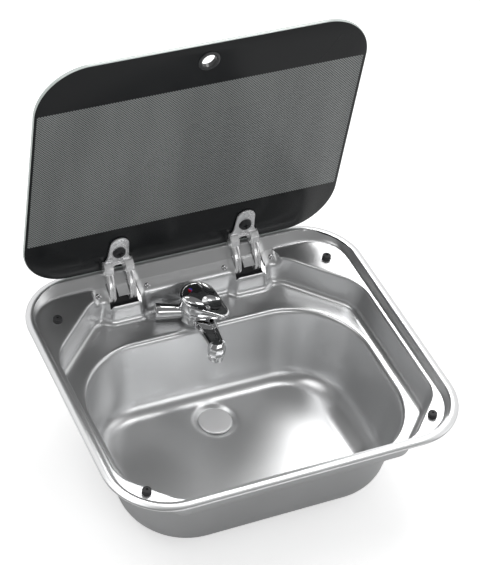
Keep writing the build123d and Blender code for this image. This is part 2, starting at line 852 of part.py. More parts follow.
with BuildPart() as lever_pin:
    with Locations(lift_axis):
        Cylinder(lever_pin_radius, lever_pin_length)
save(lever_pin.part, "lever_pin")

with BuildPart() as tap_lever:
    with BuildSketch(lever_frame.offset(lever_low)):
        Circle(tap_radius)
        with Locations((0, lever_tip_radius - lever_reach)):
            Circle(lever_tip_radius)
        make_hull()
    extrude(amount=lever_high - lever_low)
    past_tip = lever_reach + 5
    with BuildSketch(lever_side.offset(-2 * tap_radius)):
        with BuildLine():
            Polyline(
                (lever_brow, lever_high),
                (-past_tip, lever_high - (past_tip + lever_brow) * tan(radians(lever_fall))),
                (-past_tip, lever_high + past_tip),
                (lever_brow, lever_high + past_tip),
                close=True,
            )
        make_face()
    extrude(amount=4 * tap_radius, mode=Mode.SUBTRACT)
    upper_edges = tap_lever.edges().filter_by_position(Axis.Z, deck_z + lever_low + 0.5, deck_z + lever_high)
    brow_edges = upper_edges.filter_by(
        lambda edge: abs(lever_frame.to_local_coords(edge.center()).Y - lever_brow) < 0.1
        and abs(edge.center().Z - deck_z - lever_high) < 0.1
    )
    fillet([edge for edge in upper_edges if edge not in brow_edges], lever_edge_round)
    with Locations(lever_frame * Location((0, -dimple_ahead, lever_high + dimple_rise))):
        Sphere(dimple_radius, mode=Mode.SUBTRACT)
    with BuildSketch(lever_frame.offset(lever_low)):
        Circle(tap_radius - lever_wall)
    extrude(amount=lever_hollow, mode=Mode.SUBTRACT)
    with Locations(lift_axis):
        Cylinder(lever_pin_radius, lever_pin_length, mode=Mode.SUBTRACT)
save(tap_lever.part, "tap_lever")

with BuildPart() as index_mark:
    with BuildSketch(lever_frame.offset(lever_high)):
        with Locations((0, mark_behind)):
            Circle(mark_radius)
    extrude(amount=mark_thickness)
save(index_mark.part, "index_mark")


# =================================================================================================
# Plug
# =================================================================================================
with BuildPart() as plug_seal:
    with BuildSketch(Plane(origin=(0, drain_y, drain_z))):
        Circle(plug_radius - 0.6)
    extrude(amount=seal_thickness)
    with BuildSketch(Plane(origin=(0, drain_y, drain_z))):
        Circle(seal_boss_radius)
    extrude(amount=-seal_boss)
save(plug_seal.part, "plug_seal")

with BuildPart() as drain_plug:
    with BuildSketch(Plane.XZ.offset(-drain_y)):
        base = drain_z + seal_thickness
        with BuildLine():
            Polyline(
                (0, base),
                (plug_radius, base),
                (plug_radius, base + plug_thickness - 0.6),
                (plug_radius - 1.2, base + plug_thickness),
                (0, base + plug_thickness + plug_dome),
                close=True,
            )
        make_face()
    revolve(axis=Axis((0, drain_y, 0), (0, 0, 1)))
save(drain_plug.part, "drain_plug")
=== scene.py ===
"""Studio picture of a camper sink with a hinged glass lid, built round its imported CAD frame.

Lengths in this file are millimetres unless a name ends in _m; meshes are scaled to metres as they are
finished. The frame stands in the middle of the rim, on the worktop plane: +X right, +Y back, +Z up.
"""

import logging
import math
from dataclasses import dataclass
from enum import Enum
from typing import Callable, Sequence

import bmesh
import bpy
import numpy as np
from mathutils import Matrix, Vector


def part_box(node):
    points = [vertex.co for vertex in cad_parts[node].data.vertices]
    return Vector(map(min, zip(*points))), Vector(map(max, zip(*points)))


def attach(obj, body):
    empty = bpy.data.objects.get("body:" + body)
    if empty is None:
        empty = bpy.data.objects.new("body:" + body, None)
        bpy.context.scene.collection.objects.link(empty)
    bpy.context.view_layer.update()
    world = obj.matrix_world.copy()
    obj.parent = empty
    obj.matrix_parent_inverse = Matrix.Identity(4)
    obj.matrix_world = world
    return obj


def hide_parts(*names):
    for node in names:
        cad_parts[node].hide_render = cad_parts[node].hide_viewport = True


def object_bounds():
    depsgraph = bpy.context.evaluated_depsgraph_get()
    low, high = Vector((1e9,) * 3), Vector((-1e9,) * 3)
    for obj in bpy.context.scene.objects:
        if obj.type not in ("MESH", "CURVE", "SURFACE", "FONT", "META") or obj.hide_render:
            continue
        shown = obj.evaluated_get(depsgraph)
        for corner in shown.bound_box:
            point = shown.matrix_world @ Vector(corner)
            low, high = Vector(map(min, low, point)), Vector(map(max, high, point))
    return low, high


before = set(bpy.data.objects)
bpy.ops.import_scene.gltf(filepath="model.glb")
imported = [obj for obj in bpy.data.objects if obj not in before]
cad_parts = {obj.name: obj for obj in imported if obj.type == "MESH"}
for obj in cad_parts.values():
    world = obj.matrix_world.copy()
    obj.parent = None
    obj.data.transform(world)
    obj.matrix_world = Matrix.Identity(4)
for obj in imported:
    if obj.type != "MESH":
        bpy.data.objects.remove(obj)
cad_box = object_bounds()

MM = 0.001
log = logging.getLogger("sink")

Finishes = dict[str, bpy.types.Material]
Outline = Sequence[tuple[float, float]]
Corners = Sequence[tuple[float, float, float]]
Places = tuple[np.ndarray, np.ndarray, np.ndarray]


class Body(Enum):
    """The moving bodies of the frame."""

    SINK = "sink"
    LID = "lid"
    SPOUT = "spout_arm"
    LEVER_BASE = "lever_base"
    LEVER = "lever"
    PLUG = "plug"


# ---------------------------------------------------------------------------------------------------
# Shapes drawn as distances: negative in the air over the pressing, zero on the steel
# ---------------------------------------------------------------------------------------------------
def round_rect(x: np.ndarray, y: np.ndarray, half: float, front: float, back: float, corner: float) -> np.ndarray:
    """Distance to a rectangle with round corners.

    Args:
        x: Places across.
        y: Places front to back.
        half: Half the width.
        front: Front edge's y.
        back: Back edge's y.
        corner: Corner radius.

    Returns:
        The distance at each place, negative inside.
    """
    dx = np.abs(x) - half + corner
    dy = np.abs(y - (front + back) / 2) - (back - front) / 2 + corner
    outside = np.hypot(np.maximum(dx, 0), np.maximum(dy, 0))
    return outside + np.minimum(np.maximum(dx, dy), 0) - corner


def find_edge(inside: Callable[[np.ndarray], np.ndarray], low: np.ndarray, high: np.ndarray,
              halvings: int = 26) -> np.ndarray:
    """Find where a test turns from true to false, by halving.

    Args:
        inside: Tells for each place whether it is still inside.
        low: Places that are inside.
        high: Places that are outside.
        halvings: How often the space between them is halved.

    Returns:
        The last places that are inside.
    """
    for _ in range(halvings):
        middle = (low + high) / 2
        within = inside(middle)
        low, high = np.where(within, middle, low), np.where(within, high, middle)
    return low


def round_both(a: np.ndarray, b: np.ndarray, radius: float) -> np.ndarray:
    """Intersection of two shapes with its edge rounded to a radius."""
    bend = np.hypot(np.maximum(radius + a, 0), np.maximum(radius + b, 0))
    return np.minimum(-radius, np.maximum(a, b)) + bend


def round_either(a: np.ndarray, b: np.ndarray, radius: float) -> np.ndarray:
    """Union of two shapes with its inner edge rounded to a radius."""
    return -round_both(-a, -b, radius)


@dataclass(frozen=True)
class Flight:
    """Rings down one wall of the pressing and over the flat below it."""

    wall: tuple[float, ...]
    edge: float
    shares: tuple[float, ...]


FLIGHTS = (
    Flight((2.3, 1.2, -0.6, -2.6, -4.4, -5.6, -6.5), -7.8, (0.03, 0.12, 0.3, 0.5, 0.7, 0.86, 0.95)),
    Flight(
        (-9.0, -10.8, -13.0, -15.5, -18.0, -20.0, -22.0, -24.5, -28.0, -32.0, -36.0, -38.5, -40.6, -42.1), -44.2,
        (0.12, 0.3, 0.5, 0.68, 0.8, 0.9, 0.96),
    ),
    Flight(
        (-45.6, -47.6, -52.0, -62.0, -75.0, -90.0, -103.0, -112.0, -118.0, -123.5, -128.0, -131.5, -134.4, -136.6,
         -138.3, -139.4, -139.95, -140.15), -140.9, (0.02, 0.08, 0.25, 0.42, 0.6, 0.76, 0.88, 0.95, 0.985),
    ),
)


@dataclass
class Pressing:
    """The sink's pressed steel sheet, from its rolled rim to the drain.

    The sizes are the CAD source's; the bends are drawn softer, as a deep-drawn sheet has them.
    """

    finishes: Finishes
    rim_width: float = 420.0
    rim_depth: float = 370.0
    rim_corner: float = 72.0
    rim_bend: Outline = (
        (0.0, 0.0), (0.0, 0.7), (0.25, 1.2), (1.0, 1.75), (2.6, 2.5), (4.4, 3.1), (5.8, 3.3), (7.4, 3.3), (8.6, 3.0),
    )
    sheet: float = 0.8
    crest: float = 3.3
    basin_half: float = 200.5
    basin_front: float = -173.5
    basin_back: float = 176.5
    basin_corner: float = 61.0
    basin_lean: float = 4.0
    basin_walls_end: float = 400.0
    basin_corners_end: float = 195.0
    basin_slope_bend: float = 26.0
    basin_foot: float = 2.0
    ledge: float = -7.0
    ledge_back: float = 161.0
    deck: float = -43.0
    recess_half: float = 191.0
    recess_front: float = -167.0
    recess_back: float = 148.0
    recess_corner: float = 14.0
    recess_draft: float = 9.0
    recess_foot: float = 6.5
    recess_brow: float = 2.6
    back_pad_line: float = 266.0
    back_pad_bend: float = 14.0
    front_pad_line: float = 302.5
    front_pad_bend: float = 10.0
    panel_half: float = 118.0
    panel_front: float = 138.0
    panel_low: float = -20.0
    panel_start: float = 126.0
    panel_past: float = 1.0
    panel_side_bend: float = 5.0
    panel_end_bend: float = 1.0
    panel_brow: float = 1.2
    hinge_x: float = 80.0
    pedestal_half: float = 21.4
    pedestal_draft: float = 10.0
    pedestal_corner: float = 8.0
    pedestal_edge: float = 2.6
    pedestal_root: float = 6.0
    bowl_half: float = 172.5
    bowl_front: float = -148.0
    bowl_back: float = 95.0
    bowl_corner: float = 88.0
    bowl_floor: float = -140.2
    bowl_draft: float = 9.0
    bowl_foot: float = 30.0
    bowl_foot_back: float = 18.0
    foot_change_y: float = 10.0
    foot_change_run: float = 50.0
    bowl_lip: float = 4.5
    drain_y: float = 37.0
    drain_floor: float = -144.2
    drain_reach: float = 26.8
    drain_run: float = 1.5
    drain_mouth: float = 3.0
    drain_foot: float = 1.2
    drain_brow: float = 1.5
    drain_rows: tuple[float, ...] = (-142.0, -143.1, -143.9)
    drain_flat: float = 18.5
    outlet: float = 15.0
    outlet_low: float = -146.2
    window_half: float = 19.7
    window_front: float = 139.4
    window_low: float = -25.0
    window_high: float = -1.0
    slot_outer: float = 18.65
    slot_inner: float = 6.85
    slot_front: float = 148.0
    slot_back: float = 163.5
    buffer_x: float = 170.75
    buffer_back: float = 126.0
    buffer_front: float = -144.0
    buffer_hole: float = 3.0
    tap_y: float = 115.0
    tap_hole: float = 13.4
    hole_depth: float = 8.0
    around: int = 448
    crowding: float = 0.14
    centre_y: float = -5.0
    search: float = 262.0
    drain_search: float = 40.0
    rim_search: float = 290.0

    @property
    def panel_rate(self) -> float:
        """How fast the hinge panel falls towards the front."""
        return (self.ledge - self.panel_low) / (self.ledge_back - self.panel_front)

    def basin(self, at: Places) -> np.ndarray:
        """Distance to the shallow step that the closed lid lies in.

        Args:
            at: The places, as x, y and z.

        Returns:
            The distance at each place.
        """
        x, y, z = at
        depth = self.crest - self.ledge
        below = self.crest - z
        side = self.basin_lean / depth * below
        lean_cos = math.cos(math.atan(self.basin_lean / depth))
        walls, corners = (
            round_rect(x, y, self.basin_half, self.basin_front, end, self.basin_corner) + side
            for end in (self.basin_walls_end, self.basin_corners_end)
        )
        slope_rate = (self.basin_back - self.ledge_back) / depth
        slope = (y - self.basin_back + slope_rate * below) / math.hypot(1.0, slope_rate)
        walls = round_both(np.maximum(walls, corners) * lean_cos, slope, self.basin_slope_bend)
        return round_both(walls, self.ledge - z, self.basin_foot)

    def recess(self, at: Places) -> np.ndarray:
        """Distance to the deep step round the bowl, without its pedestals.

        Args:
            at: The places, as x, y and z.

        Returns:
            The distance at each place.
        """
        x, y, z = at
        draft = math.radians(self.recess_draft)
        narrow = (self.ledge - z) * math.tan(draft)
        far = np.abs(x)
        box = round_rect(x, y, self.recess_half, self.recess_front, self.recess_back, self.recess_corner)
        back_cut = (far + y - self.back_pad_line) / math.sqrt(2)
        front_cut = (far - y - self.front_pad_line) / math.sqrt(2)
        plan = round_both(round_both(box, back_cut, self.back_pad_bend), front_cut, self.front_pad_bend)
        return round_both((plan + narrow) * math.cos(draft), self.deck - z, self.recess_foot)

    def panel(self, at: Places) -> np.ndarray:
        """Distance to the air over the slanting hinge panel.

        Args:
            at: The places, as x, y and z.

        Returns:
            The distance at each place.
        """
        x, y, z = at
        rate = self.panel_rate
        floor = (self.ledge - (self.ledge_back - y) * rate - z) / math.hypot(1.0, rate)
        sides = np.abs(x) - self.panel_half
        ends = np.maximum(y - self.ledge_back - self.panel_past, self.panel_start - y)
        return round_both(round_both(floor, sides, self.panel_side_bend), ends, self.panel_end_bend)

    def pedestals(self, at: Places) -> np.ndarray:
        """Distance to the two blocks that the hinges' windows are cut in.

        Args:
            at: The places, as x, y and z.

        Returns:
            The distance at each place.
        """
        x, y, z = at
        rate = self.panel_rate
        spread = (self.panel_low - z) * math.tan(math.radians(self.pedestal_draft))
        sides = np.abs(np.abs(x) - self.hinge_x) - self.pedestal_half - spread
        face = self.panel_front - spread - y
        top = (z - self.ledge + (self.ledge_back - y) * rate) / math.hypot(1.0, rate)
        return round_both(round_both(sides, face, self.pedestal_corner), top, self.pedestal_edge)

    def bowl(self, at: Places) -> np.ndarray:
        """Distance to the bowl, whose foot is rounder at the front than at the back.

        Args:
            at: The places, as x, y and z.

        Returns:
            The distance at each place.
        """
        x, y, z = at
        draft = math.radians(self.bowl_draft)
        plan = round_rect(x, y, self.bowl_half, self.bowl_front, self.bowl_back, self.bowl_corner)
        walls = (plan + (self.deck - z) * math.tan(draft)) * math.cos(draft)
        change = np.clip((y - self.foot_change_y) / self.foot_change_run, 0.0, 1.0)
        foot = self.bowl_foot - (self.bowl_foot - self.bowl_foot_back) * change
        return round_both(walls, self.bowl_floor - z, foot)

    def drain(self, at: Places) -> np.ndarray:
        """Distance to the conical step round the drain.

        Args:
            at: The places, as x, y and z.

        Returns:
            The distance at each place.
        """
        x, y, z = at
        reach = np.hypot(x, y - self.drain_y)
        cone = reach - self.drain_reach + (self.bowl_floor - z) * self.drain_run
        cone = np.maximum(cone / math.hypot(1.0, self.drain_run), z - self.bowl_floor - self.drain_mouth)
        return round_both(cone, self.drain_floor - z, self.drain_foot)

    def air(self, *at: np.ndarray) -> np.ndarray:
        """Distance to all the air inside the pressing.

        Args:
            *at: The places, as x, y and z.

        Returns:
            The distance at each place.
        """
        upper = round_either(self.basin(at), self.panel(at), self.panel_brow)
        upper = round_either(upper, self.recess(at), self.recess_brow)
        upper = round_both(upper, -self.pedestals(at), self.pedestal_root)
        lower = round_either(self.bowl(at), self.drain(at), self.drain_brow)
        return round_either(upper, lower, self.bowl_lip)

    @property
    def spokes(self) -> Places:
        """The spokes' angles, closer together towards the hinges, with their cosines and sines."""
        even = np.linspace(0.0, 2 * math.pi, self.around, endpoint=False)
        angle = even - self.crowding * np.sin(2 * (even - math.pi / 2))
        return angle, np.cos(angle), np.sin(angle)

    def level_ring(self, height: float) -> np.ndarray:
        """Where the steel stands at one height, found along level spokes.

        Args:
            height: The ring's z.

        Returns:
            One row of x, y, z for each spoke.
        """
        angle, cos, sin = self.spokes
        in_drain = height < self.bowl_floor
        centre_y = self.drain_y if in_drain else self.centre_y
        level = np.full_like(angle, height)
        reach = find_edge(
            lambda far: self.air(far * cos, centre_y + far * sin, level) < 0,
            np.zeros_like(angle), np.full_like(angle, self.drain_search if in_drain else self.search),
        )
        return np.stack([reach * cos, centre_y + reach * sin, level], axis=1)

    def between(self, outer: np.ndarray, inner: np.ndarray, share: float) -> np.ndarray:
        """A ring on the flat between two others, dropped straight down on the steel.

        Args:
            outer: The ring outside it.
            inner: The ring inside it.
            share: How far it lies from outer towards inner, 0 to 1.

        Returns:
            One row of x, y, z for each spoke.
        """
        flat = outer * (1 - share) + inner * share
        top = np.maximum(outer[:, 2], inner[:, 2]) + 1.0
        bottom = np.minimum(outer[:, 2], inner[:, 2]) - 1.0
        height = find_edge(lambda level: self.air(flat[:, 0], flat[:, 1], level) < 0, top, bottom, 22)
        return np.stack([flat[:, 0], flat[:, 1], height], axis=1)

    def rim_ring(self, inset: float, height: float) -> np.ndarray:
        """One ring of the rolled rim.

        Args:
            inset: How far it lies inside the outer edge.
            height: The ring's z.

        Returns:
            One row of x, y, z for each spoke.
        """
        angle, cos, sin = self.spokes
        half, front, back = self.rim_width / 2, -self.rim_depth / 2, self.rim_depth / 2
        reach = find_edge(
            lambda far: round_rect(far * cos, self.centre_y + far * sin, half, front, back, self.rim_corner) < -inset,
            np.zeros_like(angle), np.full_like(angle, self.rim_search),
        )
        return np.stack([reach * cos, self.centre_y + reach * sin, np.full_like(angle, height)], axis=1)

    def rings(self) -> list[np.ndarray]:
        """All the rings of the sheet's upper face, from the rim's edge to the outlet."""
        made = [self.rim_ring(inset, height) for inset, height in self.rim_bend]
        for flight in FLIGHTS:
            made += [self.level_ring(height) for height in flight.wall]
            edge = self.level_ring(flight.edge)
            made += [self.between(made[-1], edge, share) for share in flight.shares]
            made.append(edge)
        made += [self.level_ring(height) for height in self.drain_rows]
        angle, cos, sin = self.spokes
        for reach, height in (
            (self.drain_flat, self.drain_floor), (self.outlet, self.drain_floor), (self.outlet, self.outlet_low),
        ):
            made.append(np.stack([reach * cos, self.drain_y + reach * sin, np.full_like(angle, height)], axis=1))
        return made

    def window_cutter(self) -> bmesh.types.BMesh:
        """The air of both hinge windows: a mouth in the panel's front and a slot for each arm."""
        cutter = bmesh.new()
        right = [
            (self.window_half, self.slot_front), (self.slot_outer, self.slot_front), (self.slot_outer, self.slot_back),
            (self.slot_inner, self.slot_back), (self.slot_inner, self.slot_front),
        ]
        front = [(-self.window_half, self.window_front), (self.window_half, self.window_front)]
        outline = front + right + [(-x, y) for x, y in reversed(right)]
        for middle in (-self.hinge_x, self.hinge_x):
            add_prism(cutter, [(middle + x, y) for x, y in outline], self.window_low, self.window_high)
        return cutter

    def hole_cutter(self) -> bmesh.types.BMesh:
        """The tap's hole and the four holes for the lid's buffers."""
        cutter = bmesh.new()
        for x in (-self.buffer_x, self.buffer_x):
            for y in (self.buffer_back, self.buffer_front):
                add_rod(cutter, self.buffer_hole, self.hole_depth, Matrix.Translation((x, y, self.ledge)))
        add_rod(cutter, self.tap_hole, self.hole_depth, Matrix.Translation((0.0, self.tap_y, self.deck)))
        return cutter

    def build(self) -> None:
        """Draw the sheet, thicken it downwards and cut its openings."""
        shape = bmesh.new()
        wrap_grid(shape, self.rings())
        piece = finish_mesh("sink_pressing", shape, Body.SINK, self.finishes["satin_steel"], weld=0.002)
        if sum(face.normal.z * face.area for face in piece.data.polygons) < 0:
            piece.data.flip_normals()
        solid = piece.modifiers.new("sheet", "SOLIDIFY")
        solid.thickness = self.sheet * MM
        solid.offset = -1.0
        solid.material_offset = 1
        piece.data.materials.append(self.finishes["drawn_steel"])
        apply_modifiers(piece)
        cut_with(piece, self.window_cutter())
        cut_with(piece, self.hole_cutter())
        sharpen(piece, 50.0)
        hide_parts("sink_bowl")
        log.info("sink pressing: %d points", len(piece.data.vertices))


# ---------------------------------------------------------------------------------------------------
# Mesh tools
# ---------------------------------------------------------------------------------------------------
def finish_mesh(name: str, shape: bmesh.types.BMesh, body: Body, material: bpy.types.Material, weld: float = 0.0,
                sharp: float = 0.0) -> bpy.types.Object:
    """Turn a bmesh drawn in millimetres into a smooth piece that rides on a body.

    Args:
        name: The piece's name.
        shape: The finished mesh; it is freed here.
        body: What the piece moves with.
        material: The piece's finish.
        weld: Distance under which points are merged, or 0.
        sharp: Edges that bend by more than this many degrees stay sharp, or 0 for none.

    Returns:
        The new object, at the origin, in metres.
    """
    if weld:
        bmesh.ops.remove_doubles(shape, verts=shape.verts, dist=weld)
    bmesh.ops.recalc_face_normals(shape, faces=shape.faces)
    bmesh.ops.scale(shape, vec=Vector((MM, MM, MM)), verts=shape.verts)
    for face in shape.faces:
        face.smooth = True
    mesh = bpy.data.meshes.new(name)
    shape.to_mesh(mesh)
    shape.free()
    mesh.materials.append(material)
    piece = bpy.data.objects.new(name, mesh)
    bpy.context.scene.collection.objects.link(piece)
    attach(piece, body.value)
    if sharp:
        sharpen(piece, sharp)
    return piece


def apply_modifiers(piece: bpy.types.Object) -> None:
    """Bake a piece's modifiers into its mesh.

    Args:
        piece: The piece, which keeps its mesh's name.
    """
    bpy.context.view_layer.update()
    graph = bpy.context.evaluated_depsgraph_get()
    baked = bpy.data.meshes.new_from_object(piece.evaluated_get(graph), depsgraph=graph)
    old, name = piece.data, piece.data.name
    piece.modifiers.clear()
    piece.data = baked
    bpy.data.meshes.remove(old)
    baked.name = name


def sharpen(piece: bpy.types.Object, angle: float) -> None:
    """Mark a piece's crisp edges as sharp and the others as smooth.

    Args:
        piece: The piece.
        angle: The bend past which an edge is sharp, in degrees.
    """
    shape = bmesh.new()
    shape.from_mesh(piece.data)
    for edge in shape.edges:
        if len(edge.link_faces) == 2:
            edge.smooth = edge.calc_face_angle(0.0) < math.radians(angle)
    shape.to_mesh(piece.data)
    shape.free()


def bevel_edges(shape: bmesh.types.BMesh, width: float, segments: int = 3, angle: float = 35.0) -> None:
    """Round all edges of a bmesh that bend by more than an angle.

    Args:
        shape: The mesh.
        width: The rounding's width in millimetres.
        segments: Faces across the rounding.
        angle: The least bend, in degrees.
    """
    edges = [
        edge for edge in shape.edges
        if len(edge.link_faces) == 2 and edge.calc_face_angle(0.0) > math.radians(angle)
    ]
    bmesh.ops.bevel(
        shape, geom=edges, offset=width, offset_type="OFFSET", segments=segments, profile=0.5,
        affect="EDGES", material=-1, clamp_overlap=True,
    )


def cut_with(piece: bpy.types.Object, cutter: bmesh.types.BMesh) -> None:
    """Cut a closed shape, drawn in millimetres, out of a piece.

    Args:
        piece: The piece to cut.
        cutter: The closed shape; it is freed here.
    """
    bmesh.ops.recalc_face_normals(cutter, faces=cutter.faces)
    bmesh.ops.scale(cutter, vec=Vector((MM, MM, MM)), verts=cutter.verts)
    mesh = bpy.data.meshes.new("cutter")
    cutter.to_mesh(mesh)
    cutter.free()
    tool = bpy.data.objects.new("cutter", mesh)
    bpy.context.scene.collection.objects.link(tool)
    boolean = piece.modifiers.new("cut", "BOOLEAN")
    boolean.object = tool
    boolean.operation = "DIFFERENCE"
    boolean.solver = "EXACT"
    apply_modifiers(piece)
    bpy.data.objects.remove(tool)
    bpy.data.meshes.remove(mesh)


def add_prism(shape: bmesh.types.BMesh, outline: Outline, low: float, high: float,
              place: Matrix = Matrix.Identity(4)) -> list[bmesh.types.BMVert]:
    """Extrude a flat outline.

    Args:
        shape: The mesh to add to.
        outline: Its corners as (x, y), in order.
        low: The height of its first face.
        high: The height of its last face.
        place: Moves the finished prism.

    Returns:
        The prism's points.
    """
    foot = [shape.verts.new((x, y, low)) for x, y in outline]
    face = shape.faces.new(foot)
    made = bmesh.ops.extrude_face_region(shape, geom=[face])["geom"]
    top = [item for item in made if isinstance(item, bmesh.types.BMVert)]
    bmesh.ops.translate(shape, vec=(0, 0, high - low), verts=top)
    bmesh.ops.transform(shape, matrix=place, verts=foot + top)
    return foot + top


def add_rod(shape: bmesh.types.BMesh, radius: float, depth: float, place: Matrix, segments: int = 32) -> None:
    """Add a cylinder.

    Args:
        shape: The mesh to add to.
        radius: Its radius.
        depth: Its length.
        place: Its middle, with z along its axis.
        segments: Faces around.
    """
    bmesh.ops.create_cone(
        shape, cap_ends=True, segments=segments, radius1=radius, radius2=radius, depth=depth, matrix=place,
    )


def wrap_grid(shape: bmesh.types.BMesh, rings: Sequence[np.ndarray], closed: bool = False) -> None:
    """Wrap a grid round a row of closed rings.

    Args:
        shape: The mesh to add to.
        rings: Each ring's points as rows of x, y, z, all with the same count.
        closed: Whether the first and last rings are filled.
    """
    around, along = len(rings[0]), len(rings) - 1
    grid = bmesh.ops.create_grid(shape, x_segments=around, y_segments=along, size=1.0)["verts"]
    ends: list[bmesh.types.BMVert] = []
    for vert in grid:
        spoke = round((vert.co.x + 1) / 2 * around) % around
        row = round((vert.co.y + 1) / 2 * along)
        vert.co = rings[row][spoke]
        if row in (0, along):
            ends.append(vert)
    bmesh.ops.remove_doubles(shape, verts=grid, dist=1e-4)
    if closed:
        kept = {vert for vert in ends if vert.is_valid}
        rim = [edge for edge in shape.edges if edge.is_boundary and set(edge.verts) <= kept]
        bmesh.ops.holes_fill(shape, edges=rim, sides=0)


def round_section(width: float, height: float, corner: float, steps: int = 5) -> list[tuple[float, float]]:
    """A rectangle with round corners about its own middle, anticlockwise.

    Args:
        width: Its size across.
        height: Its size up.
        corner: The corners' radius.
        steps: Points on each corner, less one.

    Returns:
        The outline's points.
    """
    points = []
    for quarter in range(4):
        side = 1 if quarter in (0, 3) else -1
        rise = 1 if quarter in (0, 1) else -1
        for step in range(steps + 1):
            turn = math.pi / 2 * (quarter + step / steps)
            points.append((
                side * (width / 2 - corner) + corner * math.cos(turn),
                rise * (height / 2 - corner) + corner * math.sin(turn),
            ))
    return points


def placed(points: Outline, plane: Matrix) -> np.ndarray:
    """Lay a flat outline on a plane: its x and y run along the plane's own."""
    return np.array([tuple(plane @ Vector((x, y, 0.0))) for x, y in points])


def axes(origin: Sequence[float], x_dir: Sequence[float], z_dir: Sequence[float]) -> Matrix:
    """A frame from its origin and two directions.

    Args:
        origin: Where it stands.
        x_dir: Roughly along its x.
        z_dir: Along its z.

    Returns:
        The frame's matrix.
    """
    z = Vector(z_dir).normalized()
    x = (Vector(x_dir) - z * Vector(x_dir).dot(z)).normalized()
    matrix = Matrix((x, z.cross(x), z)).transposed().to_4x4()
    matrix.translation = Vector(origin)
    return matrix


def turn_profile(shape: bmesh.types.BMesh, profile: Corners, place: Matrix,
                 steps: int = 48, loop: bool = False) -> None:
    """Spin a profile with rounded corners about its own Z axis.

    Args:
        shape: The mesh to add to.
        profile: Corners as (radius, height, rounding).
        place: Moves the turned shape from the Z axis to its place.
        steps: Faces around.
        loop: Whether the profile closes on itself, as a ring's does.
    """
    points = rounded(profile, loop)
    verts = [shape.verts.new((radius, 0.0, height)) for radius, height in points]
    pairs = list(zip(verts, verts[1:])) + ([(verts[-1], verts[0])] if loop else [])
    edges = [shape.edges.new(pair) for pair in pairs]
    before = set(shape.verts) - set(verts)
    bmesh.ops.spin(
        shape, geom=verts + edges, cent=(0, 0, 0), axis=(0, 0, 1), angle=2 * math.pi, steps=steps,
        use_merge=True, use_duplicate=False,
    )
    turned = [vert for vert in shape.verts if vert not in before]
    bmesh.ops.remove_doubles(shape, verts=turned, dist=1e-4)
    turned = [vert for vert in shape.verts if vert not in before]
    bmesh.ops.transform(shape, matrix=place, verts=turned)


def rounded(profile: Corners, loop: bool = False, steps: int = 4) -> list[tuple[float, float]]:
    """Round the corners of a profile.

    Args:
        profile: Corners as (x, y, rounding).
        loop: Whether the last corner leads back to the first.
        steps: Faces in each rounding.

    Returns:
        The rounded profile's points.
    """
    made: list[tuple[float, float]] = []
    count = len(profile)
    for index, (x, y, rounding) in enumerate(profile):
        if rounding <= 0 or (not loop and index in (0, count - 1)):
            made.append((x, y))
            continue
        here = Vector((x, y))
        before = (Vector(profile[index - 1][:2]) - here).normalized()
        after = (Vector(profile[(index + 1) % count][:2]) - here).normalized()
        half = before.angle(after) / 2
        reach, away = rounding / math.tan(half), rounding / math.sin(half)
        centre = here + (before + after).normalized() * away
        first, last = here + before * reach - centre, here + after * reach - centre
        for step in range(steps + 1):
            made.append(tuple(centre + first.slerp(last, step / steps)))
    return made


def arc_points(start: Vector, through: Vector, end: Vector, steps: int) -> list[Vector]:
    """Points along the arc through three points of a plane.

    Args:
        start: The first point.
        through: A point on the way.
        end: The last point.
        steps: How many parts the arc has.

    Returns:
        The arc's points.
    """
    one, two = through - start, end - start
    area = 2 * (one.x * two.y - one.y * two.x)
    centre = start + Vector((
        (two.y * one.length_squared - one.y * two.length_squared) / area,
        (one.x * two.length_squared - two.x * one.length_squared) / area,
    ))
    first = math.atan2(start.y - centre.y, start.x - centre.x)
    sweep = (math.atan2(end.y - centre.y, end.x - centre.x) - first) % math.tau
    middle = (math.atan2(through.y - centre.y, through.x - centre.x) - first) % math.tau
    if middle > sweep:
        sweep -= math.tau
    radius = (start - centre).length
    return [
        centre + radius * Vector((math.cos(first + sweep * part / steps), math.sin(first + sweep * part / steps)))
        for part in range(steps + 1)
    ]


